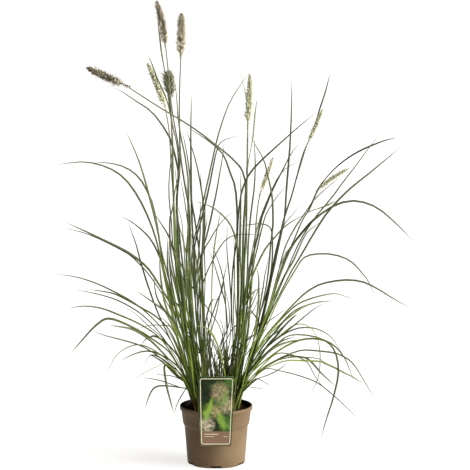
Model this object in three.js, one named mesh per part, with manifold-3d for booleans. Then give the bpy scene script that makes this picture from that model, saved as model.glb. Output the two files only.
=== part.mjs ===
// A fountain grass in a two-litre nursery pot, with its soil and a hang card over the rim.
// Millimetres, +Z up. The origin is the middle of the pot's flat underside, and the
// front, where the card hangs, looks towards -Y.
import * as THREE from 'three';
import { mergeVertices } from 'three/addons/utils/BufferGeometryUtils.js';
import Module from 'manifold-3d';

const wasm = await Module();
wasm.setup();

// Driving dimensions
const GAP = 0.35;
const POT_HEIGHT = 140;
const POT_LIP_RADIUS = 86.7;
const POT_LIP_DEPTH = 10;
const POT_COLLAR_RADIUS = 83.4;
const POT_STEP_TOP = 98;
const POT_STEP_FOOT = 91;
const POT_SHOULDER_RADIUS = 79.5;
const POT_BODY_RADIUS = 75.8;
const POT_FOOT_RADIUS = 68.5;
const POT_WALL = 1.8;
const POT_FLOOR = 3;
const POT_SIDES = 36;
const NOTCH_WIDTH = 23;
const NOTCH_HEIGHT = 5.5;
const NOTCH_DEPTH = 5;
const DRAIN_RADIUS = 5;
const DRAIN_CIRCLE = 38;
const SOIL_TOP = 128;
const SOIL_LUMP = 1.6;
const CROWN_RADIUS = 5;
const CROWN_TOP_RADIUS = 3.2;
const CROWN_FOOT = 110;
const CROWN_TOP = 150;
const CARD_TOP = 226;
const CARD_FOOT = 59;
const CARD_TOP_WIDTH = 86.6;
const CARD_FOOT_WIDTH = 73.8;
const CARD_CORNER = 6;
const CARD_THICKNESS = 0.8;
const CARD_CENTRE_X = 0.5;
const TONGUE_WIDTH = 24;
const CULM_RADIUS = 1.5;
const CULM_LEAF_WIDTH = 4;
const BLADE_CLEARANCE = 0.4;
const CULM_STATION_STEP = 125;
const BLADE_STATION_STEP = 160;

// The blades are drawn as they look from one standing point, 4.5 m in front of the pot
const VIEW = new THREE.Vector3(45, -4500, 1125);

const COLOURS = {
  pot: 0x8a7460,
  soil: 0x1e1611,
  card: 0x7f9a52,
  foliage: 0x5d7a2c,
  ripe: 0x84725f,
  young: 0xa9a772,
};

// The crowns of the tufts in the soil, as x and y
const TUFTS = {
  left_1: [-52, -20],
  left_2: [-57, 5],
  left_3: [-48, 29],
  left_4: [-36, -8],
  left_5: [-34, 16],
  left_6: [-23, 38],
  middle_1: [-14, -22],
  middle_2: [-11, 8],
  middle_3: [10, -6],
  middle_4: [6, 28],
  right_1: [30, -24],
  right_2: [33, 3],
  right_3: [30, 32],
  right_4: [50, -14],
  right_5: [56, 10],
  right_6: [48, 34],
};

// The flowering culms: tuft, depth of the top, then x and z from the soil up.
const CULMS = {
  1: ['left_4', -40, [-62, 230, -78, 320, -88, 400, -95, 480, -98, 560, -100, 660, -102, 760, -106,
    860, -111, 935, -117.5, 997]],
  2: ['left_5', 60, [-50, 230, -57, 320, -62, 420, -62, 500, -61, 560, -63, 610, -68, 640, -73, 668,
    -78, 700, -83, 738, -85, 800, -85, 870, -83, 930, -81, 973]],
  3: ['right_2', -60, [48, 240, 55, 320, 60, 400, 63, 480, 65, 560, 69, 630, 70, 670, 62, 701, 46, 722,
    22, 744, 0, 761, -30, 785, -60, 806, -90, 825, -124, 845, -165, 871, -214, 903]],
  4: ['left_3', 110, [-58, 240, -74, 340, -86, 440, -94, 540, -100, 640, -105, 720, -109, 790, -115,
    830, -120, 855]],
  5: ['left_2', -10, [-64, 250, -76, 360, -86, 480, -91, 570, -91, 640, -86, 690, -85, 725, -89, 765,
    -97, 810, -103, 850, -106, 880]],
  6: ['right_2', 20, [55, 240, 62, 310, 66, 380, 66, 450, 69, 520, 72, 580, 73, 660, 74, 715, 75, 770,
    75, 815]],
  7: ['right_4', -90, [86, 250, 104, 320, 118, 380, 130, 440, 142, 500, 152, 550, 163, 595, 178, 640,
    190, 685, 204, 738, 218, 771]],
  8: ['right_3', 80, [62, 240, 76, 320, 82, 400, 87, 470, 92, 530, 96, 590, 101, 630, 106, 652]],
  9: ['right_6', 90, [84, 245, 104, 300, 122, 355, 138, 410, 150, 450, 162, 485, 178, 520, 190, 550,
    204, 583, 222, 612, 236, 645, 243, 659]],
};

// The seed heads: tip as x and z, radius, how far the middle bows to the left, rows, columns, ripeness
const HEADS = {
  1: { tip: [-137, 1096], radius: 7.2, bow: 2, rows: 15, columns: 7, colour: COLOURS.ripe },
  2: { tip: [-79, 1067], radius: 8.2, bow: 0, rows: 15, columns: 7, colour: COLOURS.ripe },
  3: { tip: [-300, 942], radius: 7.4, bow: -2, rows: 14, columns: 7, colour: COLOURS.ripe },
  4: { tip: [-159, 952], radius: 6.4, bow: 1.5, rows: 15, columns: 6, colour: COLOURS.young },
  5: { tip: [-112, 932], radius: 8, bow: 0, rows: 9, columns: 6, colour: COLOURS.young },
  6: { tip: [80, 926], radius: 6.8, bow: 1, rows: 15, columns: 6, colour: COLOURS.young },
  7: { tip: [250, 846], radius: 4.2, bow: 1, rows: 13, columns: 5, colour: COLOURS.young },
  8: { tip: [134, 732], radius: 4.6, bow: 1, rows: 13, columns: 5, colour: COLOURS.young },
  9: { tip: [312, 706], radius: 4.8, bow: -4, rows: 13, columns: 5, colour: COLOURS.young },
};

// Leaves on the culms: culm, depth of the tip against the culm's, then x and z from the culm out
const CULM_LEAVES = [
  [1, -60, [-98, 690, -101, 760, -103, 810, -107, 840, -114, 866, -126, 893, -138, 917, -148, 944,
    -159, 973]],
  [1, 50, [-107, 850, -114, 905, -122, 950, -128, 985, -132, 1020, -136, 1050]],
  [5, -30, [-87, 720, -92, 762, -101, 806, -107, 850, -112, 885, -118, 915, -124, 929, -133, 928]],
  [6, 50, [75, 705, 80, 742, 86, 778, 90, 805, 93, 830, 97, 870]],
  [6, -40, [73, 640, 72, 700, 73, 780, 72, 850, 69, 885, 65, 908, 59, 945]],
  [7, 60, [200, 720, 214, 760, 232, 812, 243, 850, 255, 885, 268, 930]],
  [9, -70, [225, 620, 240, 655, 262, 685, 284, 709, 308, 729, 336, 747, 368, 762, 398, 773, 425, 779]],
  [9, 20, [214, 600, 222, 605, 240, 611, 262, 619, 282, 630]],
];

// The blades: tuft, widest width, depth of the tip, then x and z from above the crown out
const BLADES = [
  ['left_1', 4.6, -70, [-76, 198, -98, 224, -124, 247, -152, 267, -184, 283, -230, 297, -262, 306,
    -292, 318]],
  ['left_1', 4.0, -60, [-66, 182, -94, 213, -116, 235, -123, 231, -121, 208, -117, 182, -109, 150,
    -101, 119]],
  ['left_1', 3.6, -50, [-60, 168, -71, 178, -81, 163, -91, 142, -100, 117]],
  ['left_1', 4.4, -120, [-66, 175, -84, 181, -108, 189, -140, 199, -179, 206]],
  ['left_1', 4.0, -130, [-72, 196, -100, 222, -122, 238, -142, 232, -168, 218, -203, 194]],
  ['left_1', 4.2, -110, [-86, 214, -120, 250, -152, 273, -182, 284, -208, 279, -232, 264, -247, 243,
    -261, 210]],
  ['left_1', 5.2, -150, [-82, 218, -112, 252, -142, 285, -168, 306, -198, 322, -226, 328, -256, 332]],
  ['left_1', 4.2, -190, [-68, 250, -86, 310, -108, 352, -148, 386, -190, 416]],
  ['left_1', 4.6, -100, [-66, 200, -80, 245, -95, 281, -105, 301, -115, 317, -125, 331]],
  ['left_2', 4.6, 50, [-72, 205, -92, 262, -112, 302, -140, 335, -172, 366, -205, 391, -240, 411, -282,
    432, -330, 448, -381, 455]],
  ['left_2', 4.2, 0, [-74, 204, -98, 250, -124, 289, -152, 315, -190, 338, -232, 357, -270, 372, -310,
    378, -352, 373]],
  ['left_2', 4.8, -30, [-72, 204, -92, 238, -110, 266, -125, 280, -142, 292, -158, 303, -175, 314,
    -198, 326, -222, 338, -246, 347, -264, 348, -280, 339, -302, 318, -322, 294, -346, 265]],
  ['left_2', 3.6, 40, [-66, 174, -86, 181, -112, 185, -138, 185, -153, 176, -163, 155, -170, 130]],
  ['left_2', 3.6, 100, [-68, 186, -86, 202, -106, 210, -126, 212, -147, 214]],
  ['left_2', 3.4, 120, [-78, 204, -106, 234, -132, 254, -152, 261, -164, 251, -177, 227]],
  ['left_2', 5.0, 20, [-74, 230, -94, 300, -110, 370, -126, 450, -143, 535, -164, 598, -188, 647, -218,
    686, -258, 710, -310, 721, -376, 714]],
  ['left_2', 4.4, 70, [-74, 222, -98, 275, -120, 320, -139, 362, -153, 400, -166, 440, -178, 482, -190,
    530, -208, 580]],
  ['left_2', 3.2, 140, [-78, 216, -112, 280, -146, 328, -176, 358, -208, 380, -244, 397, -292, 410,
    -336, 418]],
  ['left_2', 4.2, -60, [-70, 235, -88, 285, -104, 325, -115, 350, -126, 370, -140, 388]],
  ['left_2', 4.4, 20, [-68, 185, -84, 200, -100, 214, -112, 227, -124, 240, -138, 250, -150, 257, -162,
    263]],
  ['left_3', 5.0, 60, [-70, 220, -88, 300, -106, 390, -124, 480, -138, 560, -149, 610, -162, 647, -186,
    686, -218, 709, -256, 719, -294, 719]],
  ['left_3', 4.4, 200, [-72, 215, -96, 262, -122, 292, -145, 306, -160, 303, -171, 295, -179, 282]],
  ['left_3', 3.6, 220, [-72, 220, -100, 270, -134, 309, -162, 332, -180, 350, -200, 366, -218, 378]],
  ['left_3', 4.0, 150, [-72, 225, -96, 290, -120, 330, -150, 357, -176, 372, -205, 389, -240, 407,
    -270, 414, -300, 418]],
  ['left_3', 3.4, 110, [-70, 240, -88, 310, -104, 360, -122, 398, -142, 430, -162, 458, -182, 480,
    -206, 502, -246, 524, -300, 549, -330, 558, -362, 566]],
  ['left_3', 4.6, 130, [-68, 240, -86, 310, -102, 370, -118, 440, -132, 490, -148, 527, -166, 552,
    -196, 578, -224, 594]],
  ['left_3', 4.0, 260, [-66, 250, -86, 310, -108, 350, -127, 376, -139, 396, -145, 420, -148, 452]],
  ['left_3', 4.2, -20, [-74, 210, -100, 240, -128, 258, -152, 268, -176, 268, -200, 260, -227, 247]],
  ['left_3', 3.6, 180, [-66, 220, -78, 280, -95, 325, -115, 331, -140, 333, -160, 332, -192, 322]],
  ['left_3', 4.0, 80, [-62, 240, -78, 310, -92, 380, -103, 430, -108, 460, -112, 490, -114, 534]],
  ['left_4', 4.8, -30, [-60, 250, -76, 300, -94, 350, -110, 384, -128, 414, -146, 443, -164, 469, -186,
    489, -212, 508, -246, 526, -300, 553, -356, 579]],
  ['left_4', 4.8, -60, [-62, 260, -86, 340, -102, 410, -116, 465, -128, 510, -136, 555, -146, 598,
    -156, 635, -168, 680, -182, 725, -197, 762, -213, 798]],
  ['left_4', 4.4, -200, [-60, 240, -84, 300, -110, 350, -124, 385, -131, 425, -134, 460, -134, 500]],
  ['left_4', 4.2, -170, [-58, 240, -78, 310, -97, 380, -108, 435, -115, 480, -118, 545]],
  ['left_4', 4.4, -100, [-56, 250, -72, 340, -86, 420, -96, 480, -104, 530, -107, 580, -112, 630, -112,
    675, -107, 720, -101, 760, -99, 800]],
  ['left_4', 3.8, -210, [-54, 250, -70, 320, -84, 390, -96, 450, -104, 500, -107, 580, -102, 602, -98,
    625, -96, 645, -92, 668, -87, 692, -84, 712]],
  ['left_4', 3.4, -240, [-50, 240, -60, 300, -66, 360, -70, 420, -73, 480, -76, 525, -80, 545, -84,
    558, -88, 578, -91, 600, -93, 618]],
  ['left_5', 4.6, 80, [-54, 250, -66, 360, -78, 460, -88, 540, -95, 600, -94, 645, -90, 680, -91, 710,
    -97, 733, -107, 775, -130, 815, -152, 842, -180, 861, -210, 882, -242, 900]],
  ['left_5', 4.4, 190, [-50, 240, -66, 300, -84, 370, -98, 430, -108, 470, -112, 500, -111, 535]],
  ['left_5', 4.6, 170, [-48, 250, -60, 330, -74, 400, -88, 460, -100, 515, -112, 548, -130, 576, -148,
    603]],
  ['left_5', 4.4, 150, [-46, 250, -58, 340, -70, 420, -80, 480, -86, 540, -91, 600, -92, 660, -96, 720]],
  ['left_5', 4.6, 30, [-44, 250, -52, 330, -58, 410, -62, 480, -64, 560, -63, 610, -64, 650, -66, 680,
    -69, 700, -74, 732, -80, 757, -86, 787, -91, 817, -93, 850, -95, 890, -100, 925]],
  ['left_5', 3.6, 230, [-44, 240, -56, 300, -64, 370, -66, 430, -70, 490, -78, 540, -80, 580, -87, 610,
    -95, 642]],
  ['left_6', 4.4, 120, [-34, 250, -42, 340, -48, 420, -54, 500, -58, 570, -59, 640, -58, 720, -57, 790,
    -55, 850, -54, 884]],
  ['left_6', 4.4, 160, [-28, 250, -33, 340, -35, 430, -33, 500, -28, 560, -29, 620, -38, 680, -48, 725,
    -60, 765, -72, 808]],
  ['left_6', 4.8, 90, [-36, 260, -46, 340, -54, 420, -58, 490, -51, 535, -41, 572, -30, 615, -19, 662,
    -6, 722, 5, 775, 17, 818, 32, 860, 50, 892, 80, 936]],
  ['left_6', 4.4, 140, [-30, 260, -36, 350, -38, 430, -35, 500, -24, 540, -14, 580, -6, 618, 1, 650, 8,
    690, 16, 735, 20, 772]],
  ['left_6', 3.8, 210, [-32, 240, -40, 320, -42, 400, -38, 470, -27, 515, -15, 537, -4, 558, 8, 576,
    22, 591, 42, 608]],
  ['left_6', 4.6, 180, [-40, 250, -54, 320, -64, 380, -70, 440, -72, 500, -66, 560, -64, 620, -66, 680]],
  ['left_6', 4.4, 60, [-28, 240, -29, 330, -31, 440, -34, 475, -41, 530, -49, 585, -58, 635, -62, 690,
    -70, 745, -76, 775, -82, 800]],
  ['left_6', 4.4, 110, [-35, 260, -44, 340, -52, 420, -56, 485, -51, 533, -42, 570, -31, 612, -20, 660,
    -8, 718, 0, 752, 7, 766, 18, 774, 28, 777, 41, 781, 58, 785]],
  ['left_6', 3.6, 200, [-40, 240, -50, 320, -56, 400, -60, 480, -64, 560, -70, 605, -75, 640, -79, 660,
    -84, 690]],
  ['left_6', 4.0, 40, [-34, 250, -42, 330, -47, 390, -48, 430, -45, 462, -42, 490, -41, 520, -39, 560,
    -39, 600, -38, 638]],
  ['middle_1', 4.6, -80, [-28, 240, -36, 320, -34, 390, -30, 428, -20, 462, -9, 487, 3, 512, 16, 532,
    34, 545, 60, 550, 95, 548, 122, 543]],
  ['middle_1', 4.6, -160, [-22, 240, -27, 310, -30, 380, -32, 440, -34, 500, -31, 560, -31, 620, -36,
    700]],
  ['middle_1', 4.0, -200, [-26, 230, -40, 300, -47, 360, -48, 430, -54, 490, -60, 550]],
  ['middle_1', 4.0, -150, [-22, 230, -21, 285, -17, 330, -8, 362, 2, 392, 12, 415, 17, 447, 27, 487]],
  ['middle_1', 3.4, -110, [-10, 215, -8, 245, -13, 280, -22, 320]],
  ['middle_1', 4.0, -180, [-24, 220, -36, 260, -50, 300, -60, 350, -64, 420, -70, 470]],
  ['middle_2', 4.0, 60, [-18, 220, -18, 275, -12, 308, -4, 338, 4, 370, 9, 400, 14, 428, 20, 458]],
  ['middle_2', 4.4, 150, [-20, 230, -26, 310, -28, 380, -26, 450, -28, 520, -26, 580, -25, 650]],
  ['middle_2', 4.0, 90, [-6, 220, 2, 250, 14, 274, 28, 300, 42, 323, 58, 338, 74, 352, 88, 364, 98,
    388, 108, 415]],
  ['middle_2', 3.4, 120, [-12, 220, -4, 255, 8, 285, 15, 315, 11, 338, 4, 351]],
  ['middle_2', 3.8, 180, [-20, 220, -32, 258, -48, 272, -62, 300, -76, 318, -92, 330]],
  ['middle_2', 3.8, -40, [-6, 200, -10, 225, -12, 255, -9, 285, -4, 312]],
  ['middle_3', 4.0, -90, [12, 220, 7, 256, -2, 280, -14, 302, -26, 312]],
  ['middle_3', 4.2, -150, [18, 230, 24, 280, 27, 330, 23, 380, 15, 412, 8, 437, 1, 460, -8, 490, -20,
    516]],
  ['middle_3', 3.6, -60, [4, 215, 10, 250, 18, 285, 22, 320, 20, 346]],
  ['middle_3', 3.4, -170, [10, 215, 8, 250, 14, 290, 26, 322, 31, 350, 27, 392, 20, 425]],
  ['middle_3', 3.6, -130, [14, 220, 28, 250, 36, 280, 48, 300, 54, 340, 50, 390]],
  ['middle_3', 4.0, -30, [8, 205, 8, 240, 4, 262, -2, 275, -8, 288, -14, 301, -21, 315]],
  ['middle_3', 3.6, 30, [16, 200, 22, 228, 24, 256, 27, 292]],
  ['middle_4', 4.4, 110, [14, 230, 18, 290, 8, 328, -3, 347, -26, 380, -47, 408, -62, 432, -78, 464,
    -94, 500, -106, 536]],
  ['middle_4', 4.0, 160, [18, 230, 26, 300, 24, 360, 22, 400, 19, 432, 12, 465, 3, 492, -12, 530]],
  ['middle_4', 4.0, 200, [20, 230, 30, 290, 34, 340, 35, 385, 34, 430, 31, 475, 28, 510, 27, 545, 29,
    575]],
  ['middle_4', 3.4, 230, [0, 220, -10, 262, -22, 298, -40, 316]],
  ['right_1', 4.6, -120, [40, 240, 48, 320, 51, 400, 51, 480, 47, 530, 40, 556, 32, 574, 20, 590, 4,
    605, -12, 616, -32, 624, -52, 628]],
  ['right_1', 4.4, -170, [38, 240, 42, 300, 38, 360, 37, 420, 40, 480, 47, 540, 48, 600, 44, 660, 36,
    685, 28, 710, 18, 737, 0, 757, -20, 773, -40, 787, -56, 797, -75, 810]],
  ['right_1', 4.4, -140, [42, 240, 52, 310, 54, 380, 53, 450, 55, 520, 56, 580, 57, 640, 56, 700]],
  ['right_1', 4.0, -220, [44, 230, 56, 290, 66, 340, 72, 400, 76, 460, 75, 520, 80, 570]],
  ['right_1', 3.6, -240, [42, 220, 50, 260, 52, 310, 46, 370, 44, 420]],
  ['right_1', 4.0, -90, [46, 200, 60, 260, 67, 300, 71, 335, 77, 374]],
  ['right_1', 4.4, -60, [40, 240, 47, 320, 50, 400, 50, 480, 50, 540, 53, 600, 59, 645, 66, 668, 80,
    696, 106, 725, 142, 758, 176, 789, 202, 811, 234, 838]],
  ['right_2', 4.4, -60, [54, 250, 63, 330, 70, 410, 74, 470, 78, 540, 84, 600, 91, 655, 93, 700, 92,
    735, 88, 790]],
  ['right_2', 4.0, 110, [50, 240, 60, 300, 64, 360, 62, 420, 66, 480, 72, 540, 70, 600, 68, 640]],
  ['right_2', 4.2, 70, [54, 250, 64, 330, 74, 400, 86, 440, 96, 466, 106, 490, 120, 518, 138, 541, 158,
    565, 182, 583, 210, 598]],
  ['right_2', 3.6, 20, [46, 230, 54, 290, 60, 330, 80, 368, 94, 400, 104, 430]],
  ['right_2', 4.6, -90, [52, 190, 88, 235, 108, 262, 122, 284, 140, 303, 158, 325, 172, 341, 186, 354,
    196, 360]],
  ['right_2', 4.2, -30, [58, 200, 90, 245, 112, 280, 128, 300, 148, 325, 163, 345, 178, 361, 193, 372,
    214, 382]],
  ['right_3', 4.4, 150, [46, 240, 57, 320, 68, 400, 79, 470, 86, 510, 95, 553, 107, 593, 121, 629, 134,
    660, 149, 689, 168, 708, 200, 727]],
  ['right_3', 3.8, 190, [44, 240, 55, 320, 68, 400, 86, 470, 98, 520, 107, 560, 117, 595, 132, 622,
    150, 648, 172, 670]],
  ['right_3', 4.0, 220, [40, 240, 50, 310, 56, 380, 58, 440, 56, 500, 58, 560, 60, 610]],
  ['right_3', 3.8, 170, [40, 230, 46, 300, 44, 360, 46, 430, 44, 500, 40, 560]],
  ['right_3', 3.8, 240, [50, 230, 78, 270, 97, 300, 104, 322, 101, 340, 95, 352, 87, 362, 78, 372, 70,
    384, 62, 396]],
  ['right_3', 4.6, 120, [52, 185, 85, 225, 105, 248, 122, 265, 140, 279, 156, 287, 172, 292, 190, 296,
    208, 296]],
  ['right_4', 4.6, -60, [80, 250, 98, 320, 112, 380, 122, 430, 127, 480, 130, 530, 134, 570, 133, 610,
    130, 645, 122, 680, 113, 718, 102, 742, 88, 765, 77, 785]],
  ['right_4', 4.4, -40, [84, 250, 104, 330, 120, 400, 134, 455, 144, 505, 153, 550, 161, 590, 164, 640,
    169, 700, 174, 760, 178, 840, 179, 925]],
  ['right_4', 4.4, -190, [72, 230, 88, 290, 98, 350, 103, 390, 103, 420, 103, 440, 101, 455, 96, 473]],
  ['right_4', 4.6, -150, [76, 220, 106, 264, 136, 292, 162, 313, 190, 337, 214, 356, 238, 374, 264, 386]],
  ['right_4', 5.0, -130, [70, 196, 100, 232, 136, 262, 166, 282, 196, 295, 224, 299, 252, 296, 276,
    286, 296, 268, 310, 247, 320, 222, 330, 199]],
  ['right_4', 4.6, -90, [64, 180, 90, 213, 116, 241, 138, 260, 160, 264, 186, 258, 208, 249, 222, 238,
    233, 217, 246, 196, 264, 176]],
  ['right_4', 4.2, -150, [60, 168, 84, 196, 106, 220, 126, 227, 154, 221, 186, 213, 216, 203, 240, 192,
    264, 174, 286, 156, 312, 133, 343, 103]],
  ['right_4', 3.4, -60, [58, 160, 74, 181, 92, 201, 106, 199, 120, 191, 134, 186]],
  ['right_4', 4.2, -210, [74, 230, 94, 290, 116, 340, 132, 390, 142, 430, 152, 470, 170, 520]],
  ['right_4', 4.2, -20, [72, 330, 78, 440, 89, 500, 99, 550, 107, 592, 114, 610, 128, 648, 145, 683,
    159, 709, 175, 740, 198, 768]],
  ['right_4', 4.2, -110, [68, 230, 97, 320, 104, 380, 110, 415, 115, 452, 119, 470, 125, 498]],
  ['right_4', 3.6, -90, [56, 172, 70, 183, 88, 181, 104, 179, 121, 176]],
  ['right_4', 3.6, -170, [62, 176, 90, 212, 118, 232, 148, 247, 180, 254, 215, 254, 240, 252, 252, 247,
    260, 234, 266, 213]],
  ['right_4', 4.6, -80, [62, 185, 84, 222, 100, 245, 112, 258, 124, 270, 138, 283, 152, 292, 170, 299,
    192, 303]],
  ['right_5', 5.0, 30, [84, 255, 112, 325, 140, 395, 160, 445, 178, 490, 196, 530, 214, 560, 236, 592,
    258, 618, 280, 645, 302, 676, 326, 706, 348, 737, 370, 766, 394, 795]],
  ['right_5', 5.0, 0, [88, 265, 120, 340, 142, 388, 162, 428, 182, 468, 200, 497, 220, 533, 240, 567,
    260, 598, 280, 622, 302, 645, 326, 667, 354, 689, 380, 711, 402, 729, 435, 758]],
  ['right_5', 4.8, -20, [80, 230, 106, 290, 125, 318, 138, 333, 150, 347, 162, 361, 175, 375, 188, 388,
    201, 401, 216, 413, 232, 423, 250, 431, 280, 438, 314, 441, 348, 437, 378, 424, 404, 408, 430, 391,
    462, 374]],
  ['right_5', 5.0, -20, [76, 202, 106, 246, 140, 285, 168, 306, 200, 309, 236, 303, 262, 291, 279, 272,
    289, 243, 291, 210, 286, 178, 278, 142, 266, 103, 254, 56]],
  ['right_5', 4.8, 60, [74, 192, 106, 226, 140, 247, 172, 262, 204, 272, 240, 271, 284, 266, 306, 257,
    322, 247, 334, 233, 346, 214, 358, 193, 380, 152]],
  ['right_5', 4.6, 80, [70, 182, 92, 208, 114, 228, 142, 244, 170, 257, 196, 256, 216, 252, 232, 238,
    246, 220, 262, 204, 284, 184]],
  ['right_5', 4.2, 110, [66, 172, 88, 201, 114, 224, 142, 238, 172, 247, 208, 246, 248, 244, 262, 238,
    278, 231, 306, 216, 322, 209, 353, 190]],
  ['right_5', 4.6, 90, [78, 235, 110, 295, 135, 325, 150, 341, 161, 353, 173, 365, 185, 376, 197, 385,
    212, 392, 232, 399, 254, 405, 282, 409, 306, 403, 334, 391]],
  ['right_5', 3.4, 130, [62, 162, 80, 186, 100, 203, 124, 212, 148, 224, 170, 242]],
  ['right_5', 3.6, 180, [80, 250, 105, 330, 128, 430, 144, 520, 158, 570, 185, 605, 196, 621]],
  ['right_5', 3.6, -60, [78, 240, 100, 300, 117, 333, 128, 344, 141, 353, 156, 364, 170, 371]],
  ['right_6', 4.8, 60, [82, 255, 110, 330, 136, 400, 156, 460, 172, 503, 186, 530, 204, 556, 224, 580,
    246, 598, 284, 619]],
  ['right_6', 4.8, 120, [86, 265, 118, 345, 146, 412, 166, 455, 184, 486, 198, 520, 210, 546, 224, 563,
    248, 580]],
  ['right_6', 4.8, 70, [84, 255, 112, 312, 128, 345, 137, 368, 148, 392, 160, 416, 171, 435, 182, 454,
    192, 471, 201, 486, 212, 496, 232, 502, 264, 503, 294, 497, 322, 483, 346, 457, 362, 436, 376, 404]],
  ['right_6', 4.8, 40, [84, 255, 118, 345, 140, 425, 152, 460, 160, 490, 170, 513, 183, 530, 208, 561,
    231, 586, 256, 605, 280, 619, 300, 626, 328, 629, 358, 623, 386, 610, 412, 589, 438, 566, 470, 532]],
  ['right_6', 4.4, 160, [74, 222, 102, 270, 130, 312, 154, 336, 176, 354, 196, 371, 218, 382, 246, 389,
    280, 391]],
  ['right_6', 4.4, 190, [72, 214, 100, 255, 134, 292, 164, 319, 186, 334, 206, 336, 226, 326, 240, 303,
    248, 272, 249, 235, 244, 202, 226, 166]],
  ['right_6', 3.8, 210, [74, 230, 100, 276, 124, 302, 144, 316, 164, 334, 192, 358]],
  ['right_6', 4.0, 180, [74, 215, 110, 264, 150, 302, 190, 324, 226, 327, 252, 319, 274, 303, 290, 278,
    306, 250]],
  ['right_6', 4.2, 120, [68, 250, 88, 310, 108, 370, 120, 420, 128, 470, 132, 530, 131, 558, 122, 571,
    104, 575, 84, 573, 56, 569]],
  ['right_6', 3.6, 230, [82, 245, 110, 330, 138, 420, 156, 490, 170, 530, 192, 570, 215, 603, 232, 630,
    262, 660, 300, 692]],
];

// The blades added by rule fill the tussock out, so that it is as round from the side. From the
// front they stay within the dense tussock: height, then the least and the greatest x there.
const FILL_PER_TUFT = { left: 3, middle: 2, right: 3 };
const FILL_SEED = 4711;
const FILL_DEPTH = 350;
const FILL_OUTLINE = [
  [150, -240, 230],
  [250, -230, 190],
  [300, -190, 190],
  [350, -160, 170],
  [400, -135, 140],
  [500, -110, 110],
  [620, -95, 100],
];

// Small tools: random numbers, solids and meshes

let seed = FILL_SEED;
function random(low, high) {
  seed = (seed * 1664525 + 1013904223) % 4294967296;
  return low + (high - low) * (seed / 4294967296);
}

function signedVolume(position, index) {
  let sum = 0;
  const at = (i) => new THREE.Vector3().fromArray(position, 3 * index[i]);
  for (let i = 0; i < index.length; i += 3) {
    sum += at(i).dot(at(i + 1).cross(at(i + 2))) / 6;
  }
  return sum;
}

function solidFromLists(position, index) {
  const triVerts = Uint32Array.from(index);
  if (signedVolume(position, index) < 0) {
    for (let i = 0; i < triVerts.length; i += 3) {
      [triVerts[i + 1], triVerts[i + 2]] = [triVerts[i + 2], triVerts[i + 1]];
    }
  }
  const vertProperties = Float32Array.from(position);
  return new wasm.Manifold(new wasm.Mesh({ numProp: 3, vertProperties, triVerts }));
}

function solidFromGeometry(geometry) {
  const plain = geometry.clone();
  plain.deleteAttribute('normal');
  plain.deleteAttribute('uv');
  const merged = mergeVertices(plain, 1e-4);
  const index = Array.from(merged.index.array);
  const kept = [];
  for (let i = 0; i < index.length; i += 3) {
    const [a, b, c] = index.slice(i, i + 3);
    if (a !== b && b !== c && c !== a) kept.push(a, b, c);
  }
  return solidFromLists(Array.from(merged.attributes.position.array), kept);
}

// The outermost shell of a solid: hollows that fusing seals are filled, loose scraps are left out
function outerShell(position, index) {
  const parent = Array.from({ length: position.length / 3 }, (_, i) => i);
  const find = (i) => {
    while (parent[i] !== i) {
      parent[i] = parent[parent[i]];
      i = parent[i];
    }
    return i;
  };
  for (let i = 0; i < index.length; i += 3) {
    parent[find(index[i])] = find(index[i + 1]);
    parent[find(index[i + 1])] = find(index[i + 2]);
  }
  const shells = new Map();
  for (let i = 0; i < index.length; i += 3) {
    const key = find(index[i]);
    if (!shells.has(key)) shells.set(key, []);
    shells.get(key).push(index[i], index[i + 1], index[i + 2]);
  }
  let best = null;
  for (const triangles of shells.values()) {
    if (best === null || triangles.length > best.length) best = triangles;
  }
  return best;
}

function meshFromSolid(name, solid, colour, roughness) {
  const { vertProperties, triVerts } = solid.getMesh();
  const shell = outerShell(vertProperties, triVerts);
  const geometry = new THREE.BufferGeometry();
  geometry.setAttribute('position', new THREE.BufferAttribute(new Float32Array(vertProperties), 3));
  geometry.setIndex(new THREE.BufferAttribute(new Uint32Array(shell), 1));
  geometry.computeVertexNormals();
  const material = new THREE.MeshStandardMaterial({ color: colour, roughness, metalness: 0 });
  const mesh = new THREE.Mesh(geometry, material);
  mesh.name = name;
  return mesh;
}

function boxSolid(width, depth, height, centre, turn = 0) {
  const geometry = new THREE.BoxGeometry(width, depth, height);
  geometry.translate(...centre);
  geometry.rotateZ(turn);
  return solidFromGeometry(geometry);
}

function columnSolid(topRadius, footRadius, x, y, foot, top, sides = 6) {
  const geometry = new THREE.CylinderGeometry(topRadius, footRadius, top - foot, sides);
  geometry.rotateX(Math.PI / 2);
  geometry.translate(x, y, (foot + top) / 2);
  return solidFromGeometry(geometry);
}

// Pot: a turned wall with lip, collar and step, notched at the foot and drained through the floor

const POT_LIP_FOOT = POT_HEIGHT - POT_LIP_DEPTH;
const POT_INSIDE = [
  [POT_FOOT_RADIUS - POT_WALL, POT_FLOOR],
  [POT_BODY_RADIUS - POT_WALL, POT_STEP_FOOT],
  [POT_SHOULDER_RADIUS - POT_WALL, POT_STEP_TOP],
  [POT_COLLAR_RADIUS - POT_WALL, POT_LIP_FOOT],
  [POT_COLLAR_RADIUS - POT_WALL + 0.9, POT_HEIGHT],
];

function potInsideRadius(z) {
  let radius = POT_INSIDE[0][0];
  for (let i = 1; i < POT_INSIDE.length; i += 1) {
    const [r0, z0] = POT_INSIDE[i - 1];
    const [r1, z1] = POT_INSIDE[i];
    if (z >= z0) radius = r0 + (r1 - r0) * Math.min(1, (z - z0) / (z1 - z0));
  }
  return radius;
}

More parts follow.
